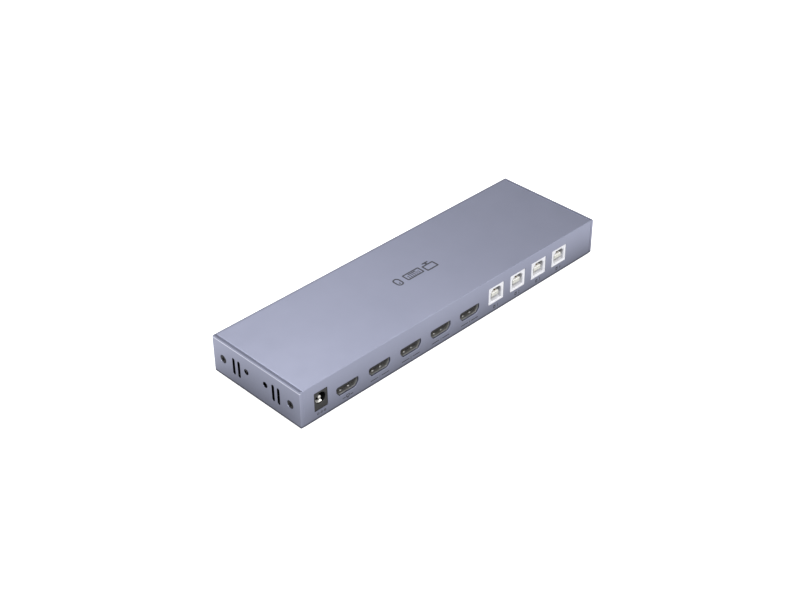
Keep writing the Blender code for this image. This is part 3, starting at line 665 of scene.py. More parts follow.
can_metal = two_tone(
    "capacitor_aluminium", dark=(0.62, 0.63, 0.65), light=(0.74, 0.75, 0.77), rough=0.28,
    metal=1.0, patch=0.3, grain=1.2, relief=0.004, wear=(0.85, 0.85, 0.86), stretch=(0.1, 0.1, 1.0))
ferrite = two_tone(
    "ferrite", dark=(0.05, 0.05, 0.053), light=(0.085, 0.085, 0.088), rough=0.6, relief=0.03,
    wear=(0.17, 0.17, 0.17), wear_r=0.2, wear_amount=0.5)
solder = two_tone(
    "solder", dark=(0.58, 0.59, 0.60), light=(0.75, 0.76, 0.77), rough=0.24, metal=1.0, patch=0.8,
    grain=2.0, relief=0.01, rough_span=0.1)
resistor_body = two_tone(
    "resistor_film", dark=(0.012, 0.012, 0.014), light=(0.03, 0.03, 0.032), rough=0.35, patch=1.0,
    grain=4.0, relief=0.006)
ceramic_tan = two_tone(
    "capacitor_ceramic", dark=(0.36, 0.25, 0.15), light=(0.47, 0.34, 0.21), rough=0.45, patch=0.8,
    grain=4.0, relief=0.006)
ink = two_tone(
    "printed_ink", dark=(0.045, 0.047, 0.062), light=(0.068, 0.070, 0.090), rough=0.48, patch=0.4,
    grain=8.0, relief=0.002, rough_span=0.08)
zinc_sheet = spangled_zinc()
laminate = board_laminate()
acrylic = clear_acrylic()


# ---------------------------------------------------------------- cover
def video_outline(width, height, x, z, radius):
    """Video socket's outline: a rectangle whose lower half tapers."""
    a, b = width / 2, height / 2
    low = a - 0.36 * height
    waist = z - 0.02 * height
    return rounded([(x + low, z - b), (x + a, waist), (x + a, z + b),
                    (x - a, z + b), (x - a, waist), (x - low, z - b)], radius, 5)


def cover_profile(inset):
    """Section of the cover, an arch open at the bottom."""
    side, top, radius = HALF_W - inset, HEIGHT - inset, max(EDGE_R - inset, 0.15)
    line = [(HALF_W - 0.2 - inset, 0.0), (side, 0.2)]
    for sign, start in ((1, 0), (-1, 90)):
        line += arc(sign * (side - radius), top - radius, radius, start, start + 90.0, 9)
    line += [(-side, 0.2), (-HALF_W + 0.2 + inset, 0.0)]
    inner = [(INNER_Y, 0.0), (INNER_Y, INNER_TOP - 0.6), (INNER_Y - 0.18, INNER_TOP - 0.18),
             (INNER_Y - 0.6, INNER_TOP)]
    return lifted(line + mirrored(inner) + inner[::-1])


def window(shape, outline, side, chamfer):
    """Cutter through the rear wall (side 1) or the front wall (side -1)."""
    face = HALF_W * side
    if chamfer:
        steps = ((-2.6, 0.0), (-chamfer, 0.0), (0.6, chamfer + 0.6))
    else:
        steps = ((-2.6, 0.0), (0.6, 0.0))
    outline = lifted(outline)
    loft(shape, "y", [(face + out * side, offset(outline, grow)) for out, grow in steps])


def build_cover():
    stations = ((-COVER_END, 0.2), (-COVER_END + 0.2, 0.0), (COVER_END - 0.2, 0.0), (COVER_END, 0.2))
    cover = to_object(loft(bmesh.new(), "x", [(x, cover_profile(inset)) for x, inset in stations]))
    cuts = bmesh.new()
    for x in VIDEO_XS.values():
        window(cuts, video_outline(VIDEO_CUT_W, VIDEO_CUT_H, x, VIDEO_Z, 1.1), 1, chamfer=0.12)
    for x in HOST_XS.values():
        window(cuts, rectangle(HOST_W + 0.3, HOST_H + 0.3, 0.4, 5, x, HOST_Z), 1, chamfer=0.0)
    window(cuts, rectangle(POWER_W + 0.3, POWER_H + 0.4, 0.35, 5, POWER_X, SEAT + POWER_H / 2),
           1, chamfer=0.0)
    for x in CONSOLE_XS.values():
        window(cuts, rectangle(CONSOLE_W + 0.6, CONSOLE_H + 0.6, 0.8, 6, x, CONSOLE_Z),
               -1, chamfer=0.15)
    for x in LIGHT_XS.values():
        window(cuts, circle(LIGHT_R + 0.2, 40, x, LIGHT_Z), -1, chamfer=0.0)
    window(cuts, circle(BUTTON_R + 0.3, 72, BUTTON_X, BUTTON_Z), -1, chamfer=0.2)
    cut(cover, cuts)
    replace(cover, "cover", anodised, "case_aluminium", bevel=0.06, steps=3)


# ---------------------------------------------------------------- end caps and screws
def cap_outline(inset):
    radius = max(CAP_CORNER_R - inset * 0.45, 0.12)
    return lifted(rectangle(WIDTH - 0.7 * inset, HEIGHT - 1.2 * inset, radius, 8,
                            0.0, HEIGHT / 2 - 0.4 * inset))


def build_end_cap(end, name):
    stations = ((CAP_IN, 0.05), (CAP_IN + 0.05, 0.0), (HALF_L - CAP_CHAMFER, 0.0),
                (HALF_L, CAP_CHAMFER))
    cap = to_object(loft(bmesh.new(), "x", [(x * end, cap_outline(inset)) for x, inset in stations]))
    # arch that reaches into the cover
    y0, y1 = INNER_Y - GAP - RIM_T, INNER_Y - GAP
    top0, top1, low = INNER_TOP - GAP - RIM_T, INNER_TOP - GAP, TRAY_T + GAP
    outer = [(y1, low), (y1, top1 - 0.6), (y1 - 0.6, top1)]
    inner = [(y0, low), (y0, top0)]
    arch = lifted(outer + mirrored(outer[::-1]) + mirrored(inner) + inner[::-1])
    join(cap, prism(bmesh.new(), arch, "x", end * (CAP_IN - RIM_D), end * (CAP_IN + 0.4)))
    cuts = bmesh.new()
    start, stop = end * (CAP_IN - 1.0), end * (HALF_L + 1.0)
    hole_r, sink_r = SCREW_R + 0.3, SCREW_HEAD_R + 0.2
    screw_hole = [(start, hole_r), (end * (HALF_L - SCREW_SINK - 0.25), hole_r),
                  (end * (HALF_L - 0.1), sink_r), (stop, sink_r)]
    for side in (-1, 1):
        turned(cuts, screw_hole, "x", side * CAP_SCREW_Y, CAP_SCREW_Z + LIFT, 64)
        hole = circle(BRACKET_R, 48, side * BRACKET_Y, BRACKET_Z + LIFT)
        prism(cuts, hole, "x", start, stop)
        for y in SLOT_YS:
            slot = rectangle(SLOT_W, SLOT_Z1 - SLOT_Z0, SLOT_W / 2 - 0.01, 12,
                             side * y, (SLOT_Z0 + SLOT_Z1) / 2)
            prism(cuts, lifted(slot), "x", start, stop)
    cut(cap, cuts)
    pockets = bmesh.new()  # thin the plate behind the slots
    for side in (-1, 1):
        prism(pockets, lifted(rectangle(14.0, 11.4, 0.8, 6, side * 12.2, 11.05)), "x",
              end * (CAP_IN - 0.8), end * (HALF_L - CAP_WEB))
    cut(cap, pockets)
    replace(cap, name, anodised_plate, "case_aluminium", bevel=0.05, steps=3)


def cross(cu, cv, length, width):
    h, w = length / 2, width / 2
    points = ((h, -w), (h, w), (w, w), (w, h), (-w, h), (-w, w),
              (-h, w), (-h, -w), (-w, -w), (-w, -h), (w, -h), (w, -w))
    return [(cu + u, cv + v) for u, v in points]


def recess(axis, top, inward, cu, cv, length, width, depth):
    """Cross recess that narrows with depth."""
    return loft(bmesh.new(), axis, [
        (top - inward * 0.5, cross(cu, cv, length * 1.12, width * 1.1)),
        (top + inward * depth * 0.55, cross(cu, cv, length * 0.78, width * 0.85)),
        (top + inward * depth, cross(cu, cv, length * 0.42, width * 0.4))])


def build_cap_screws():
    face = HALF_L - 0.12
    profile = [(face, SCREW_HEAD_R - 0.3), (face - 0.03, SCREW_HEAD_R - 0.12),
               (face - 0.14, SCREW_HEAD_R), (face - 0.24, SCREW_HEAD_R - 0.03),
               (face - SCREW_SINK - 0.15, SCREW_R)]
    crest = face - SCREW_SINK - 0.3
    while crest > face - 5.5:  # thread as fine rings
        profile += [(crest, SCREW_R - 0.02), (crest - 0.2, SCREW_R - 0.2),
                    (crest - 0.4, SCREW_R - 0.02)]
        crest -= 0.45
    profile.append((face - 6.0, SCREW_R - 0.4))
    for n, (end, side) in enumerate(CORNERS, 1):
        y, z = side * CAP_SCREW_Y, CAP_SCREW_Z + LIFT
        along = [(end * x, radius) for x, radius in profile[::-1]]
        screw = to_object(turned(bmesh.new(), along, "x", y, z, 56))
        cut(screw, recess("x", end * face, -end, y, z, length=2.7, width=0.72, depth=1.25))
        replace(screw, f"end_cap_screw_{n}", black_steel, "screw_steel", bevel=0.035, angle=38)


# ---------------------------------------------------------------- tray and feet
def build_tray():
    bend_out, bend_in = 1.6, 0.4
    bend = (FLANGE_OUT - bend_out, bend_out)
    right = arc(*bend, bend_out, -90, 0, 10)
    right += [(FLANGE_OUT, FLANGE_H), (FLANGE_OUT - FLANGE_T, FLANGE_H)]
    right += arc(*bend, bend_in, -90, 0, 10)[::-1]
    section = lifted(right + mirrored(right[::-1]))
    tray = to_object(prism(bmesh.new(), section, "y", -FLANGE_W / 2, FLANGE_W / 2))
    sheet = rectangle(2 * (CAP_IN - RIM_D - GAP), 2 * (INNER_Y - GAP), 0.8, 5)
    join(tray, prism(bmesh.new(), sheet, "z", LIFT, LIFT + TRAY_T))
    posts = bmesh.new()
    post = [(LIFT + 0.5, STAND_R + 0.6), (LIFT + TRAY_T + 0.5, STAND_R),
            (LIFT + BOARD_Z - GAP, STAND_R)]
    for x, y in BOARD_HOLES:
        turned(posts, post, "z", x, y, 40)
    for end, side in CORNERS[::-1]:  # bosses inside the end flanges
        for y, z, radius in ((CAP_SCREW_Y, CAP_SCREW_Z, 2.6), (BRACKET_Y, BRACKET_Z, 2.5)):
            boss = [(end * (FLANGE_OUT - 0.5), radius),
                    (end * (FLANGE_OUT - FLANGE_T - 1.6), radius)]
            turned(posts, boss, "x", side * y, z + LIFT, 40)
    join(tray, posts)
    cuts = bmesh.new()
    for x, y in BOARD_HOLES:
        prism(cuts, circle(STAND_HOLE_R, 32, x, y), "z", LIFT + 0.7, LIFT + BOARD_Z + 1)
    for end, side in CORNERS[::-1]:
        holes = ((CAP_SCREW_Y, CAP_SCREW_Z, SCREW_R + 0.15), (BRACKET_Y, BRACKET_Z, 1.3))
        for y, z, radius in holes:
            prism(cuts, circle(radius, 32, side * y, z + LIFT), "x",
                  end * (FLANGE_OUT - 4), end * (FLANGE_OUT + 1))
        prism(cuts, lifted(rectangle(7.6, 11.4, 1.0, 5, side * 15.35, 10.7)), "x",
              end * (FLANGE_OUT - 2), end * (FLANGE_OUT + 1))
    for x in VENT_XS:
        for y in VENT_YS:
            prism(cuts, rectangle(VENT_L, VENT_W, VENT_W / 2 - 0.02, 8, x, y), "z",
                  LIFT - 1, LIFT + TRAY_T + 1)
    cut(tray, cuts)
    replace(tray, "base_tray", zinc_sheet, "tray_sheet", bevel=0.07)


def build_feet():
    # (height over the floor, radius), from the hollow underneath up the outside
    profile = [(0.32, 0.0), (0.30, 2.1), (0.22, 2.5), (0.04, 2.75), (0.0, 2.95), (0.0, 4.1),
               (0.05, 4.35), (0.2, 4.6), (0.45, 4.8), (LIFT - 0.25, 4.98), (LIFT - 0.1, 4.95)]
    for n, (a, b) in enumerate(CORNERS, 1):
        foot = to_object(turned(bmesh.new(), profile, "z", a * FOOT_X, b * FOOT_Y, 72))
        replace(foot, f"rubber_foot_{n}", rubber, "foot_rubber", angle=40)


def build_board_screws():
    top = LIFT + BOARD_TOP + 0.2 + 1.5
    profile = [(LIFT + TRAY_T + 0.1, 0.8), (LIFT + TRAY_T + 0.4, 1.1), (top - 1.5, 1.1),
               (top - 1.5, 2.25), (top - 1.42, 2.3), (top - 0.75, 2.3)]
    profile += dome(top - 0.75, 1.1, rise=0.75, spread=1.2, angles=(20, 40, 60, 80)) + [(top, 0.9)]
    for n, (x, y) in enumerate(BOARD_HOLES, 1):
        screw = to_object(turned(bmesh.new(), profile, "z", x, y, 48))
        cut(screw, recess("z", top, -1, x, y, length=2.3, width=0.6, depth=1.0))
        replace(screw, f"board_screw_{n}", steel, "screw_steel", bevel=0.03, angle=38)


# ---------------------------------------------------------------- power socket
def build_power_socket():
    x, z, mouth = POWER_X, SEAT + POWER_BORE_UP + LIFT, HALF_W - 0.1
    floor = mouth - POWER_BORE_D
    outline = lifted(rectangle(POWER_W, POWER_H, 0.25, 4, x, SEAT + POWER_H / 2))
    body = to_object(prism(bmesh.new(), outline, "y", mouth - POWER_DEPTH, mouth))
    bore = [(floor, POWER_BORE_R), (mouth - 0.35, POWER_BORE_R), (mouth + 1.0, POWER_BORE_R + 1.35)]
    cut(body, turned(bmesh.new(), bore, "y", x, z, 72))
    pin_hole = circle(POWER_PIN_R + 0.12, 40, x, z)
    cut(body, prism(bmesh.new(), pin_hole, "y", floor - 2.2, floor + 1.0))
    replace(body, "power_socket_housing", socket_black, "black_plastic", bevel=0.1, steps=3)

    tip = mouth - 1.25
    profile = [(floor - 2.0, POWER_PIN_R), (tip, POWER_PIN_R)]
    profile += dome(tip, POWER_PIN_R - 0.35, rise=0.3, spread=0.35, angles=(20, 40, 60, 80))
    profile += [(mouth - 0.95, 0.6), (mouth - 0.95, 0.0)]
    replace(to_object(turned(bmesh.new(), profile, "y", x, z, 40)), "power_socket_pin",
            bright_contact, "contact_metal", angle=60)

    # curved leaf low in the bore: (y, change of radius)
    stations = ((floor + 0.3, 0.0), (mouth - 6.0, -0.05), (mouth - 4.0, -0.25),
                (mouth - 2.9, -0.50), (mouth - 2.4, -0.56), (mouth - 2.05, -0.52),
                (mouth - 1.8, -0.38), (mouth - 0.95, 0.24))
    leaf_r, leaf_max_r = POWER_BORE_R - 0.42, POWER_BORE_R - 0.14 + 0.08
    layers = []
    for y, change in stations:
        outer_r = min(leaf_r + change + 0.28, leaf_max_r)
        layers.append((y, arc(x, z, outer_r, 244, 340, 36)
                       + arc(x, z, leaf_r + change, 340, 244, 36)))
    replace(to_object(loft(bmesh.new(), "y", layers)), "power_socket_contact",
            bright_contact, "contact_metal", bevel=0.04)


# ---------------------------------------------------------------- parts shared by sockets
def add_tabs(shell, xs, slot_half, slot_ys, leaf_half, free_y, root_y, thick, rows):
    """Leaf springs in slots of a shell: rooted at root_y and bowed near free_y.

    rows holds (slot's low z, slot's high z, leaf's z, dip of the leaf).
    """
    cuts = bmesh.new()
    for x in xs:
        for low, high, _, _ in rows:
            box(cuts, x - slot_half, x + slot_half, *slot_ys, low, high)
    cut(shell, cuts)
    shape = bmesh.new()
    shape.from_mesh(shell.data)
    for x in xs:
        for _, _, z, dip in rows:
            path = []
            for k in range(9):
                t = k / 8.0
                bow = math.sin(math.pi * min(t * 1.25, 1.0) / 2) ** 2
                lip = 0.5 * ((t - 0.8) / 0.2) ** 2 if t > 0.8 else 0.0
                path.append((root_y + (free_y - root_y) * t, z - dip * (bow - lip)))
            strip(shape, path, thick, "x", x - leaf_half, x + leaf_half)
    shape.to_mesh(shell.data)
    shape.free()


def tongue_shape(x, z, width, height, radius, steps, stations):
    """Flat bar along Y through stations of (y, inset)."""
    return loft(bmesh.new(), "y", [
        (y, moved(rectangle(width - 2 * inset, height - 2 * inset, radius, steps), x, z))
        for y, inset in stations])


# ---------------------------------------------------------------- video sockets
def video_rows(x, z, half, y0, y1, near, far):
    """Boxes in two rows at 1 mm pitch: ten above the tongue's middle and nine below."""
    shape = bmesh.new()
    for count, side in ((10, 1), (9, -1)):
        low, high = sorted((z + side * near, z + side * far))
        for k in range(count):
            middle = x - (count - 1) / 2 + k
            box(shape, middle - half, middle + half, y0, y1, low, high)
    return shape


def build_video_socket(tag, x):
    mouth = HALF_W - 0.75
    back = mouth - 11.5
    top, bottom = VIDEO_Z + VIDEO_H / 2 + LIFT, VIDEO_Z - VIDEO_H / 2 + LIFT
    base = lifted(video_outline(VIDEO_W, VIDEO_H, x, VIDEO_Z, 1.0))
    inner = offset(base, -VIDEO_WALL)
    shell = to_object(sleeve(bmesh.new(), "y", [
        (back, base), (mouth - 0.06, base), (mouth - 0.02, offset(base, -0.02)),
        (mouth, offset(base, -0.05)), (mouth, offset(inner, 0.24)),
        (mouth - 0.12, offset(inner, 0.21)), (mouth - 0.6, inner), (back, inner)]))
    add_tabs(shell, (x - 3.4, x + 3.4), slot_half=1.1, slot_ys=(mouth - 7.4, mouth - 2.0),
             leaf_half=0.85, free_y=mouth - 2.4, root_y=mouth - 7.6, thick=0.22,
             rows=((top - 0.7, top + 0.5, top - VIDEO_WALL / 2, 0.55),))
    replace(shell, f"video_{tag}_shell", nickel, "socket_nickel", bevel=0.03, angle=40)

    # humps on the shell's floor: (depth behind the mouth, height over the floor)
    hump = ((6.3, -0.05), (6.3, 0.02), (4.8, 0.3), (3.3, 0.56), (2.6, 0.6), (2.2, 0.5),
            (1.85, 0.24), (1.6, 0.02), (1.6, -0.05))
    outline = [(mouth - depth, bottom + VIDEO_WALL + rise) for depth, rise in hump]
    springs = bmesh.new()
    for dx in (-2.65, 2.65):
        prism(springs, outline, "x", x + dx - 0.55, x + dx + 0.55)
    add_piece(to_object(springs), f"video_{tag}_springs", bright_spring, "contact_metal",
              bevel=0.06)

    plug = offset(base, -VIDEO_WALL - 0.12)
    block = to_object(prism(bmesh.new(), plug, "y", mouth - 11.3, mouth - 8.2))
    z = VIDEO_Z + 0.35 + LIFT
    stations = ((mouth - 9.0, 0.0), (mouth - 1.3, 0.0), (mouth - 1.0, 0.22))
    join(block, tongue_shape(x, z, 11.9, 1.25, 0.2, 4, stations))
    cut(block, video_rows(x, z, half=0.22, y0=mouth - 8.4, y1=mouth - 1.35, near=0.53, far=1.0))
    replace(block, f"video_{tag}_tongue", grey_plastic, "black_plastic",
            bevel=0.03, steps=1, angle=40)
    pins = video_rows(x, z, half=0.16, y0=mouth - 8.3, y1=mouth - 1.45, near=0.54, far=0.66)
    add_piece(to_object(pins), f"video_{tag}_contacts", gold, "contact_metal", bevel=0.03)


# ---------------------------------------------------------------- host sockets
def build_host_socket(tag, x):
    face = HALF_W - 0.05
    back, floor = face - HOST_DEPTH, face - HOST_CAVITY
    stations = ((back, 0.1), (face - 0.22, 0.0), (face - 0.12, 0.03), (face - 0.03, 0.1),
                (face, 0.2))
    housing = to_object(loft(bmesh.new(), "y", [
        (y, lifted(rectangle(HOST_W - 2 * inset, HOST_H - 2 * inset, 0.4, 6, x, HOST_Z)))
        for y, inset in stations]))
    w, h, corner = HOST_OPEN_W / 2, HOST_OPEN_H / 2, HOST_OPEN_CUT
    mouth = rounded(lifted([
        (x + w, HOST_Z - h), (x + w, HOST_Z + h - corner), (x + w - corner, HOST_Z + h),
        (x - w + corner, HOST_Z + h), (x - w, HOST_Z + h - corner), (x - w, HOST_Z - h)]), 0.3, 4)
    opening = ((back - 1, 0.0), (face - 0.4, 0.0), (face + 0.6, 0.75))
    cut(housing, loft(bmesh.new(), "y", [(y, offset(mouth, grow)) for y, grow in opening]))
    replace(housing, f"host_{tag}_housing", socket_white, "white_plastic", bevel=0.08, steps=3)

    carrier = to_object(prism(bmesh.new(), offset(mouth, -0.12), "y", back + 0.2, floor))
    z = HOST_Z - 0.35 + LIFT
    stations = ((floor - 1, 0.0), (face - 1.05, 0.0), (face - 0.8, 0.25))
    join(carrier, tongue_shape(x, z, 5.6, 2.5, 0.25, 4, stations))
    grooves, pins = bmesh.new(), bmesh.new()
    # contact's path: (y, distance from the tongue's middle)
    contact = ((floor + 0.2, 1.11), (face - 4.6, 1.11), (face - 3.6, 1.21), (face - 2.9, 1.21),
               (face - 2.1, 1.11))
    for dx in (-1.25, 1.25):
        for side in (-1, 1):
            low, high = sorted((z + side * 1.03, z + side * 1.85))
            box(grooves, x + dx - 0.6, x + dx + 0.6, floor + 0.1, face - 1.9, low, high)
            path = [(y, z + side * out) for y, out in contact]
            strip(pins, path, 0.12, "x", x + dx - 0.45, x + dx + 0.45)
    cut(carrier, grooves)
    replace(carrier, f"host_{tag}_contact_block", socket_tongue, "white_plastic", bevel=0.05)
    add_piece(to_object(pins), f"host_{tag}_contacts", gold, "contact_metal", bevel=0.03)


# ---------------------------------------------------------------- console sockets
def build_console_socket(tag, x):
    mouth = -INNER_Y + 0.7
    back = mouth + CONSOLE_DEPTH
    inner_w, inner_h = CONSOLE_W - 2 * CONSOLE_WALL, CONSOLE_H - 2 * CONSOLE_WALL
    base = lifted(rectangle(CONSOLE_W, CONSOLE_H, 0.6, 5, x, CONSOLE_Z))
    inner = lifted(rectangle(inner_w, inner_h, 0.35, 5, x, CONSOLE_Z))
    shell = to_object(sleeve(bmesh.new(), "y", [
        (back, base), (mouth + 0.12, base), (mouth + 0.03, offset(base, -0.05)),
        (mouth, offset(base, -0.12)), (mouth, offset(inner, 0.1)),
        (mouth + 0.05, offset(inner, 0.04)), (mouth + 0.25, inner), (back, inner)]))
    top, bottom = CONSOLE_Z + CONSOLE_H / 2 + LIFT, CONSOLE_Z - CONSOLE_H / 2 + LIFT
    add_tabs(shell, (x - 2.9, x + 2.9), slot_half=1.25, slot_ys=(mouth + 2.2, mouth + 8.0),
             leaf_half=0.95, free_y=mouth + 2.6, root_y=mouth + 8.2, thick=0.2,
             rows=((top - 0.7, top + 0.5, top - CONSOLE_WALL / 2, 0.5),
                   (bottom - 0.5, bottom + 0.7, bottom + CONSOLE_WALL / 2, -0.6)))
    replace(shell, f"console_{tag}_shell", nickel, "socket_nickel", bevel=0.03, angle=40)

    plug = lifted(rectangle(inner_w - 0.25, inner_h - 0.25, 0.3, 3, x, CONSOLE_Z))
    block = to_object(prism(bmesh.new(), plug, "y", back - 3.5, back - 0.2))
    z = CONSOLE_Z + 0.95 + LIFT
    stations = ((back - 3.0, 0.0), (mouth + 1.2, 0.0), (mouth + 0.9, 0.25))
    join(block, tongue_shape(x, z, 11.1, 1.85, 0.15, 3, stations))
    grooves, pins = bmesh.new(), bmesh.new()
    # (x from the middle, distance of the contact's free end from the mouth)
    for dx, reach in ((-3.5, 2.3), (-1.0, 3.2), (1.0, 3.2), (3.5, 2.3)):
        box(grooves, x + dx - 0.65, x + dx + 0.65, mouth + 2.0, back - 3.4, z - 1.5, z - 0.72)
        path = [(back - 3.45, z - 0.82), (mouth + 6.0, z - 0.82), (mouth + 5.0, z - 1.1),
                (mouth + 4.2, z - 1.12), (mouth + reach, z - 0.82)]
        strip(pins, path, 0.14, "x", x + dx - 0.45, x + dx + 0.45)
    cut(block, grooves)
    replace(block, f"console_{tag}_tongue", white_plastic, "white_plastic", bevel=0.04)
    add_piece(to_object(pins), f"console_{tag}_contacts", gold, "contact_metal", bevel=0.03)


# ---------------------------------------------------------------- button and lights
def build_button():
    x, z = BUTTON_X, BUTTON_Z + LIFT
    front, wall_in = -HALF_W - BUTTON_PROUD, -INNER_Y
    collar = wall_in + GAP
    profile = [(front + 0.3, 0.0)]
    profile += [(front + 0.3 - 0.3 * (r / 2.45) ** 2, r) for r in (0.6, 1.1, 1.5, 1.9, 2.2, 2.4)]
    profile += [
        (front, 2.62), (front + 0.02, 2.95), (front + 0.1, 3.2), (front + 0.22, 3.4),
        (front + 0.38, 3.54), (front + 0.55, BUTTON_R), (collar, BUTTON_R),
        (collar, BUTTON_R + 0.9), (collar + 0.1, BUTTON_R + 1.0), (collar + 0.7, BUTTON_R + 1.0),
        (collar + 0.8, BUTTON_R + 0.9), (collar + 0.8, 2.2), (wall_in + 3.1, 2.2),
        (wall_in + 3.2, 2.1)]
    replace(to_object(turned(bmesh.new(), profile, "y", x, z, 80)), "select_button",
            anodised, "case_aluminium", body="select_button", angle=40)
    keep("select_switch_plunger", black_plastic, bevel=0.05)
    keep("select_switch_body", black_plastic, bevel=0.08)
    switch_face = wall_in + 3.2 + GAP + 2.0
    outline = rectangle(6.7, BUTTON_Z + 3.4 - SEAT - 0.5, 0.4, 4,
                        x, (BUTTON_Z + 3.4 + SEAT) / 2 + LIFT)
    plate = to_object(prism(bmesh.new(), outline, "y", switch_face - 0.22, switch_face - 0.02))
    hole = circle(2.15, 40, x, z)
    cut(plate, prism(bmesh.new(), hole, "y", switch_face - 1.0, switch_face + 1.0))
    add_piece(plate, "select_switch_plate", nickel, "socket_nickel", bevel=0.05)


def build_light(tag, x):
    """Round light pipe with a domed front end and a leg down to its lamp."""
    z, foot = LIGHT_Z + LIFT, SEAT + 0.9 + LIFT
    profile = [(-HALF_W + y, r) for y, r in (
        (0.02, 0.0), (0.03, 0.35), (0.06, 0.6), (0.12, 0.82), (0.21, 0.98), (0.34, LIGHT_R))]
    profile.append((-INNER_Y + 3.4, LIGHT_R))
    pipe = to_object(turned(bmesh.new(), profile, "y", x, z, 48))
    leg = [(-INNER_Y + 2.0, foot), (-INNER_Y + 4.6, foot), (-INNER_Y + 4.6, z - 0.6),
           (-INNER_Y + 3.0, z + 1.25), (-INNER_Y + 2.0, z + 1.25)]
    join(pipe, prism(bmesh.new(), leg, "x", x - 1.3, x + 1.3))
    replace(pipe, f"channel_light_{tag}", acrylic, "light_pipe_acrylic", bevel=0.06)


# ---------------------------------------------------------------- parts on the board
def build_capacitors():
    seat = SEAT + LIFT
    # (height over the seat, radius), up the outside with a groove near the bottom
    profile = [(seat + up, r) for up, r in (
        (0.0, 3.0), (0.1, 3.15), (1.0, 3.15), (1.12, 3.05), (1.25, 2.95), (1.38, 3.05),
        (1.5, 3.15), (7.25, 3.15))]
    profile += dome(seat + 7.25, 2.7, rise=0.45, spread=0.45, angles=(15, 30, 45, 60, 75, 90))
    profile += [(seat + 7.7, 2.5), (seat + 7.62, 2.4)]
    for n, (x, y) in enumerate(CAPACITORS, 1):
        can = to_object(turned(bmesh.new(), profile, "z", x, y, 64))
        score = cross(x, y, length=3.6, width=0.22)
        cut(can, prism(bmesh.new(), score, "z", seat + 7.5, seat + 8.2))
        replace(can, f"filter_capacitor_{n}", can_metal, "capacitor_can", bevel=0.03, angle=40)


def build_chip_leads(name, x, y, size, count, pitch, top):
    """Bent leads on four sides of a chip."""
    shape = bmesh.new()
    top, floor = SEAT + LIFT + top, LIFT + BOARD_TOP + 0.05
    lead = ((0.01, top), (0.35, top), (0.55, floor), (1.05, floor))
    for k in range(count):
        along = (k - (count - 1) / 2) * pitch
        for side in (-1, 1):
            for axis, across, middle in (("y", x, y), ("x", y, x)):
                path = [(across + side * (size / 2 + out), z) for out, z in lead]
                strip(shape, path, 0.1, axis, middle + along - 0.11, middle + along + 0.11)
    add_piece(to_object(shape), name, solder, "contact_metal")


def small_part(body, ends, x, y, length, width, height, along_x=True):
    """Surface-mounted part with a metal cap at each end."""
    middle, across = (x, y) if along_x else (y, x)
    cap, half, floor = 0.22 * length, length / 2, SOLDER_FLOOR

    def block(shape, start, end, half_width, low, high):
        spans = (start, end), (across - half_width, across + half_width)
        (x0, x1), (y0, y1) = spans if along_x else spans[::-1]
        box(shape, x0, x1, y0, y1, low, high)

    block(body, middle - half + cap, middle + half - cap, width / 2, floor, floor + height)
    for side in (-1, 1):
        start, end = sorted((middle + side * half, middle + side * (half - cap + 0.01)))
        block(ends, start, end, width / 2 + 0.02, floor - 0.01, floor + height + 0.02)


def build_small_parts():
    resistors, ceramics, lamps, ends = (bmesh.new() for _ in range(4))
    either = (resistors, ceramics)
    for x in VIDEO_XS.values():
        for k in range(8):
            small_part(either[k % 2], ends, x - 5.6 + 1.6 * k, 18.2, 1.6, 0.8, 0.5, False)
        for k in (-1, 1):
            small_part(resistors, ends, x + 3.6 * k, 14.6, 2.0, 1.25, 0.6)
    for x in HOST_XS.values():
        for k in (-1, 1):
            small_part(ceramics, ends, x + 1.6 * k, 14.6, 1.6, 0.8, 0.45, False)
            small_part(resistors, ends, x + 4.0 * k, 13.4, 1.6, 0.8, 0.45, False)
    for x in CONSOLE_XS.values():
        for k in range(4):
            small_part(either[k % 2], ends, x - 3.0 + 2.0 * k, -15.4, 1.6, 0.8, 0.45, False)
    for k in range(10):
        small_part(resistors, ends, -6.0 - 4.2 * k, -6.0 + 2.5 * (k % 3), 1.6, 0.8, 0.45,
                   k % 2 == 0)
        small_part(ceramics, ends, -8.0 - 4.2 * k, 4.5 - 2.0 * (k % 2), 1.6, 0.8, 0.5, k % 3 == 0)
    for x, y in ((72.0, 8.0), (72.0, 5.6), (72.0, 3.2), (92.0, -10.0), (95.0, -10.0),
                 (58.0, 4.0), (61.0, 4.0), (64.0, 4.0)):
        small_part(ceramics, ends, x, y, 2.0, 1.25, 0.8, False)
    add_piece(to_object(resistors), "board_resistors", resistor_body, "chip_package", bevel=0.04)
    add_piece(to_object(ceramics), "board_ceramic_capacitors", ceramic_tan, "chip_package",
              bevel=0.04)
    for x in LIGHT_XS.values():
        box(lamps, x - 0.8, x + 0.8, -INNER_Y + 2.7, -INNER_Y + 3.9,
            SOLDER_FLOOR, SOLDER_FLOOR + 0.6)
        for side in (-1, 1):
            start, end = sorted((x + side * 0.79, x + side * 1.15))
            box(ends, start, end, -INNER_Y + 2.8, -INNER_Y + 3.8,
                SOLDER_FLOOR - 0.01, SOLDER_FLOOR + 0.25)
    add_piece(to_object(lamps), "channel_lamps", white_plastic, "white_plastic", bevel=0.06)
    add_piece(to_object(ends), "board_part_terminals", solder, "contact_metal", bevel=0.03)


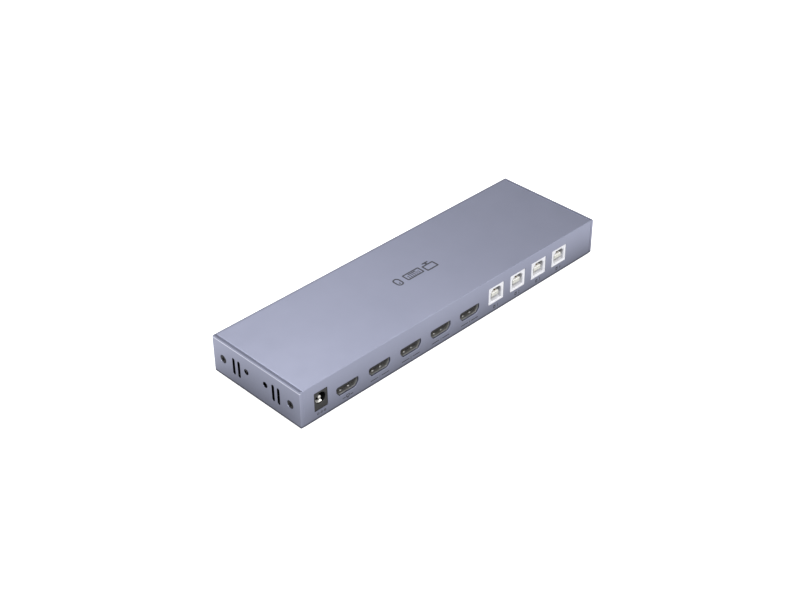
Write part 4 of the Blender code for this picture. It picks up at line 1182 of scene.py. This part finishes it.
def build_solder_joints():
    """Joints under the board, each with a clipped pin standing out of it."""
    spots = []  # (x, y, radius)
    for x in HOST_XS.values():
        spots += [(x + dx, y, 0.8) for y in (22.6, 20.6) for dx in (-1.25, 1.25)]
        spots += [(x + dx, 26.2, 1.3) for dx in (-5.2, 5.2)]
    for x in VIDEO_XS.values():
        spots += [(x + dx, y, 1.0) for dx in (-6.6, 6.6) for y in (27.8, 23.2)]
    for x in CONSOLE_XS.values():
        spots += [(x + dx, -18.6, 0.75) for dx in (-3.5, -1.0, 1.0, 3.5)]
        spots += [(x + dx, -24.0, 1.2) for dx in (-6.0, 6.0)]
    spots += [(POWER_X + dx, y, 1.4) for dx, y in ((0.0, 20.4), (0.0, 26.0), (-3.6, 23.4))]
    spots += [(x, y + dy, 0.7) for x, y in CAPACITORS for dy in (-1.3, 1.3)]
    spots += [(5.6, -14.0, 0.7), (10.4, -14.0, 0.7)]
    # (depth under the board, share of the radius)
    profile = ((0.0, 1.0), (0.12, 0.86), (0.35, 0.5), (0.6, 0.34), (0.95, 0.3), (1.0, 0.2))
    top = LIFT + BOARD_Z - 0.02
    joints = bmesh.new()
    for x, y, radius in spots:
        turned(joints, [(top - down, radius * share) for down, share in profile], "z", x, y, 20)
    add_piece(to_object(joints), "board_solder_joints", solder, "contact_metal", angle=50)


# ---------------------------------------------------------------- printed marks
INK_LOW, INK_HIGH = 0.002, 0.014  # heights over the printed face
MARK_Z, SIGN_Z = 3.35, 3.5  # middles of the marks on the rear and under the console sockets


def frame_mark(shape, face, cu, cv, width, height, radius, line, steps=8):
    outer = rectangle(width, height, radius, steps, cu, cv)
    inner = rectangle(width - 2 * line, height - 2 * line, max(radius - line, 0.02), steps, cu, cv)
    sleeve(shape, face, [(INK_LOW, outer), (INK_HIGH, outer), (INK_HIGH, inner), (INK_LOW, inner)])


def bar(shape, face, cu, cv, width, height, radius=0.0):
    radius = min(radius, width / 2 - 0.005, height / 2 - 0.005)
    prism(shape, rectangle(width, height, radius, 6, cu, cv), face, INK_LOW, INK_HIGH)


def numeral(shape, face, text, cu, cv, height):
    curve = bpy.data.curves.new("numeral", "FONT")
    curve.body, curve.size, curve.resolution_u = text, height * 1.38, 8
    curve.align_x = curve.align_y = "CENTER"
    holder = bpy.data.objects.new("numeral", curve)
    bpy.context.scene.collection.objects.link(holder)
    mesh = evaluated_mesh(holder)
    flat = bmesh.new()
    flat.from_mesh(mesh)
    bmesh.ops.remove_doubles(flat, verts=flat.verts, dist=1e-5)
    xs, ys = [v.co.x for v in flat.verts], [v.co.y for v in flat.verts]
    middle_x, middle_y = (max(xs) + min(xs)) / 2, (max(ys) + min(ys)) / 2
    scale = height / (max(ys) - min(ys))
    low, high = {}, {}
    for v in flat.verts:
        place = cu + (v.co.x - middle_x) * scale, cv + (v.co.y - middle_y) * scale
        low[v] = vertex(shape, face, INK_LOW, *place)
        high[v] = vertex(shape, face, INK_HIGH, *place)
    for polygon in flat.faces:
        corners = list(polygon.verts)
        shape.faces.new([high[v] for v in corners])
        shape.faces.new([low[v] for v in corners[::-1]])
    for edge in flat.edges:
        if len(edge.link_faces) == 1:
            a, b = edge.verts
            shape.faces.new((low[a], low[b], high[b], high[a]))
    flat.free()
    bpy.data.objects.remove(holder)
    bpy.data.curves.remove(curve)
    bpy.data.meshes.remove(mesh)


def monitor(shape, face, cu, cv, width, line):
    height, middle = width * 0.64, cv + 0.13 * width
    frame_mark(shape, face, cu, middle, width, height, 0.09 * width, line)
    bar(shape, face, cu, middle - height / 2 - 0.07 * width, 0.18 * width, 0.13 * width)
    bar(shape, face, cu, middle - height / 2 - 0.175 * width, 0.52 * width, line * 0.95, line * 0.4)


def keyboard(shape, face, cu, cv, width, line):
    key_h, key_r = 0.062 * width, 0.01 * width
    frame_mark(shape, face, cu, cv, width, width * 0.46, 0.07 * width, line)
    for row in (0.1, 0.0):
        for k in range(6):
            bar(shape, face, cu + (k - 2.5) * 0.122 * width, cv + row * width,
                0.076 * width, key_h, key_r)
    bar(shape, face, cu, cv - 0.1 * width, 0.45 * width, key_h, key_r)


def mouse(shape, face, cu, cv, width, line):
    height = width * 1.52
    frame_mark(shape, face, cu, cv, width, height, width * 0.47, line, 14)
    bar(shape, face, cu, cv + height * 0.19, line * 0.9, height * 0.2, line * 0.4)


def print_top():
    shape = bmesh.new()
    x, y = -0.9, -0.2
    monitor(shape, "top", x - 10.75, y, width=8.7, line=1.0)
    keyboard(shape, "top", x + 1.3, y, width=12.6, line=0.95)
    mouse(shape, "top", x + 12.7, y, width=4.6, line=0.95)
    add_piece(to_object(shape), "top_pictograms", ink, "black_plastic")


def print_rear():
    """Marks under the rear sockets; u runs against X, so it reads from behind."""
    shape, face = bmesh.new(), "rear"
    power = -POWER_X  # minus, centre pin and plus, joined by bars
    frame_mark(shape, face, power - 2.3, MARK_Z, 1.5, 1.5, 0.74, 0.3, 10)
    bar(shape, face, power - 2.3, MARK_Z, 0.7, 0.18)
    bar(shape, face, power - 1.2, MARK_Z, 0.7, 0.18)
    frame_mark(shape, face, power, MARK_Z, 1.55, 1.55, 0.76, 0.3, 10)
    bar(shape, face, power, MARK_Z, 0.55, 0.55, 0.27)
    bar(shape, face, power + 1.2, MARK_Z, 0.7, 0.18)
    frame_mark(shape, face, power + 2.3, MARK_Z, 1.5, 1.5, 0.74, 0.3, 10)
    bar(shape, face, power + 2.3, MARK_Z, 0.7, 0.18)
    for up in (0.22, -0.22):
        bar(shape, face, power + 2.3, MARK_Z + up, 0.18, 0.26)
    for tag, x in VIDEO_XS.items():
        if tag == "out":
            monitor(shape, face, -x, MARK_Z, width=2.5, line=0.42)
            reach, length = 2.6, 2.0
        else:
            numeral(shape, face, tag, -x, MARK_Z, height=1.6)
            reach, length = 3.9, 5.4
        for side in (-1, 1):
            bar(shape, face, -x + side * reach, MARK_Z, length, 0.56, 0.12)
    for tag, x in HOST_XS.items():
        frame_mark(shape, face, -x - 1.3, MARK_Z, 1.7, 2.0, 0.18, 0.46)
        bar(shape, face, -x - 1.3, MARK_Z + 0.35, 0.6, 0.3)
        numeral(shape, face, tag, -x + 1.3, MARK_Z, height=2.2)
    add_piece(to_object(shape), "rear_marks", ink, "black_plastic")


def print_front():
    shape, face = bmesh.new(), "front"
    for tag, x in LIGHT_XS.items():
        numeral(shape, face, tag, x, 14.9, height=2.0)
    for up, side in ((0.55, 1), (-0.55, -1)):  # two arrows that pass each other
        z = 18.2 + up
        bar(shape, face, BUTTON_X - 0.35 * side, z, 2.3, 0.34)
        head = [(BUTTON_X + side * 0.75, z - 0.62 * side), (BUTTON_X + side * 1.75, z),
                (BUTTON_X + side * 0.75, z + 0.62 * side)]
        prism(shape, head, face, INK_LOW, INK_HIGH)
    keyboard(shape, face, CONSOLE_XS["1"], SIGN_Z, width=4.6, line=0.26)
    mouse(shape, face, CONSOLE_XS["2"], SIGN_Z, width=1.5, line=0.24)
    for tag in "34":
        frame_mark(shape, face, CONSOLE_XS[tag], SIGN_Z, 1.9, 1.9, 0.3, 0.24)
        bar(shape, face, CONSOLE_XS[tag], SIGN_Z, 0.6, 0.6, 0.29)
    add_piece(to_object(shape), "front_marks", ink, "black_plastic")


# ---------------------------------------------------------------- stage
WHITE = (1.0, 1.0, 1.0, 1.0)
CAMERA_RIGHT = (-0.71111936, 0.70302712, -0.00788192)
CAMERA_UP = (-0.40801668, -0.40353156, 0.8189534)
CAMERA_BACK = (0.57256585, 0.58558957, 0.5738059)
CAMERA_PLACE = (0.446853, 0.446019, 0.448924)  # metres
# where the floor's reflected shade ends being full and where it has gone, along X and along Y
FLOOR_SHADE = ((99.5, 159.9), (14.7, 67.5))
FLOOR_SHADE_SHIFT = (0.008, 0.0, 0.0)  # metres
FLOOR_SEEN, FLOOR_FAR, FLOOR_NEAR = 1.0, 1.01, 0.03  # glow when seen, and reflected far and near
AMBIENT = 0.055
# soft lights of the sky: direction, tightness, strength
LOBES = (
    ((-0.349, -0.656, 0.669), 60.0, 0.74), ((-0.462, -0.447, 0.766), 60.0, 2.60),
    ((-0.302, -0.568, 0.766), 60.0, 1.42), ((-0.50, 0.15, 0.85), 12.0, 0.9),
    ((-0.55, 0.62, 0.55), 8.0, 0.9), ((0.3, 0.8, 0.5), 3.0, 0.75),
    ((0.8, -0.3, 0.5), 6.0, 0.5), ((0.642, -0.593, 0.481), 30.0, 1.2))
scene = bpy.context.scene


def set_camera():
    camera = bpy.data.objects.new("camera", bpy.data.cameras.new("camera"))
    scene.collection.objects.link(camera)
    camera.data.sensor_width = 36.0
    camera.data.lens = 63.0
    camera.data.clip_start, camera.data.clip_end = 0.01, 20.0
    rows = zip(CAMERA_RIGHT, CAMERA_UP, CAMERA_BACK, CAMERA_PLACE)
    camera.matrix_world = Matrix([*rows, (0, 0, 0, 1)])
    scene.camera = camera


def seen_from_below(tree):
    """1 where the camera stands under the resting plane."""
    spot = node(tree, "VectorTransform", {0: (0.0, 0.0, 0.0)}, vector_type="POINT",
                convert_from="CAMERA", convert_to="WORLD").outputs[0]
    return calc(tree, "LESS_THAN", node(tree, "SeparateXYZ", {0: spot}).outputs[2], 0.0)


def floor_area(tree, coords, reaches):
    """1 near the middle of the floor, fading to 0 over the reaches along X and Y."""
    away = node(tree, "VectorMath", {0: coords}, operation="ABSOLUTE").outputs[0]
    away = node(tree, "SeparateXYZ", {0: away}).outputs
    sides = [ramp(tree, away[i], (start * MM, end * MM), to=(1.0, 0.0),
                  interpolation_type="SMOOTHSTEP") for i, (start, end) in enumerate(reaches)]
    return calc(tree, "MULTIPLY", *sides)


def emission(tree, strength):
    return node(tree, "Emission", {"Color": WHITE, "Strength": strength}).outputs[0]


def mix_shaders(tree, mask, first, second):
    return node(tree, "MixShader", {0: mask, 1: first, 2: second}).outputs[0]


def build_floor():
    """Pale floor; in reflections it darkens close to the case, like the box's own shadow."""
    shape = bmesh.new()
    box(shape, -1500, 1500, -1500, 1500, -20, 0)
    floor = to_object(shape, "floor")
    material = bpy.data.materials.new("floor")
    material.use_nodes = True
    tree = material.node_tree
    tree.nodes.clear()
    coords = node(tree, "TexCoord").outputs["Object"]
    shifted = node(tree, "VectorMath", {0: coords, 1: FLOOR_SHADE_SHIFT}, operation="ADD").outputs[0]
    shade = floor_area(tree, shifted, FLOOR_SHADE)
    glow = ramp(tree, shade, (0.0, 1.0), to=(FLOOR_FAR, FLOOR_NEAR))
    under = floor_area(tree, coords, [(half - 2.2, half - 1.7) for half in (HALF_L, HALF_W)])
    lit = ramp(tree, under, (0.0, 1.0), to=(FLOOR_SEEN, 0.0))
    ray = node(tree, "LightPath").outputs
    diffuse = node(tree, "BsdfDiffuse", {"Color": (0.82, 0.82, 0.83, 1.0)}).outputs[0]
    seen = node(tree, "AddShader", {0: diffuse, 1: emission(tree, lit)}).outputs[0]
    surface = mix_shaders(tree, ray["Is Glossy Ray"], diffuse, emission(tree, glow))
    surface = mix_shaders(tree, ray["Is Camera Ray"], surface, seen)
    gone = node(tree, "BsdfTransparent").outputs[0]
    surface = mix_shaders(tree, seen_from_below(tree), surface, gone)
    node(tree, "OutputMaterial", {0: surface})
    floor.data.materials.append(material)


def build_world():
    """White to the camera; lights the case with soft lobes, and from below when seen there."""
    world = bpy.data.worlds.new("studio")
    scene.world = world
    world.use_nodes = True
    tree = world.node_tree
    tree.nodes.clear()
    direction = node(tree, "TexCoord").outputs["Generated"]
    total = node(tree, "Value").outputs[0]
    total.default_value = AMBIENT
    for aim, tightness, strength in LOBES:
        inputs = {0: direction, 1: tuple(Vector(aim).normalized())}
        lobe = node(tree, "VectorMath", inputs, operation="DOT_PRODUCT").outputs["Value"]
        lobe = calc(tree, "POWER", calc(tree, "MAXIMUM", lobe, 0.0), tightness)
        total = calc(tree, "MULTIPLY_ADD", lobe, strength, total)
    height = node(tree, "SeparateXYZ", {0: direction}).outputs[2]
    low = calc(tree, "MULTIPLY", calc(tree, "LESS_THAN", height, 0.1), seen_from_below(tree))
    total = calc(tree, "MULTIPLY_ADD", low, 0.85, total)
    lighting, plain = (node(tree, "Background", {"Color": WHITE, "Strength": strength}).outputs[0]
                       for strength in (total, 1.0))
    camera_ray = node(tree, "LightPath").outputs["Is Camera Ray"]
    node(tree, "OutputWorld", {0: mix_shaders(tree, camera_ray, lighting, plain)})


def add_fill_light():
    light = bpy.data.lights.new("fill", "AREA")
    light.shape, light.size, light.size_y, light.energy = "RECTANGLE", 1.0, 1.0, 22.0
    obj = bpy.data.objects.new("fill", light)
    scene.collection.objects.link(obj)
    obj.location = (0.45, 1.2, 1.6)
    aim = Vector((0, 0, 0)) - Vector((0.45, 1.2, 1.6))
    obj.rotation_euler = aim.to_track_quat("-Z", "Y").to_euler()


# ---------------------------------------------------------------- build
build_cover()
build_end_cap(1, "end_cap_right")
build_end_cap(-1, "end_cap_left")
build_cap_screws()
build_tray()
build_feet()
keep("main_board", laminate, bevel=0.08)
build_board_screws()
build_power_socket()
for places, build_one in ((VIDEO_XS, build_video_socket), (HOST_XS, build_host_socket),
                          (CONSOLE_XS, build_console_socket)):
    for tag, x in places.items():
        build_one(tag, x)
build_button()
for tag, x in LIGHT_XS.items():
    build_light(tag, x)
keep("video_switch_chip", compound, bevel=0.06)
keep("hub_chip", compound, bevel=0.06)
keep("heat_sink", black_aluminium, bevel=0.1)
keep("power_inductor", ferrite, bevel=0.15, steps=3)
keep("crystal_can", nickel, bevel=0.12, steps=3)
build_capacitors()
build_chip_leads("video_switch_chip_leads", 30.0, -1.0, size=16.0, count=30, pitch=0.5, top=0.7)
build_chip_leads("hub_chip_leads", 50.0, -6.0, size=9.0, count=12, pitch=0.65, top=0.55)
build_small_parts()
build_solder_joints()
print_top()
print_rear()
print_front()

scene.view_settings.view_transform = "Standard"
scene.view_settings.look = "None"
scene.view_settings.exposure = 0.0
set_camera()
build_floor()
build_world()
add_fill_light()
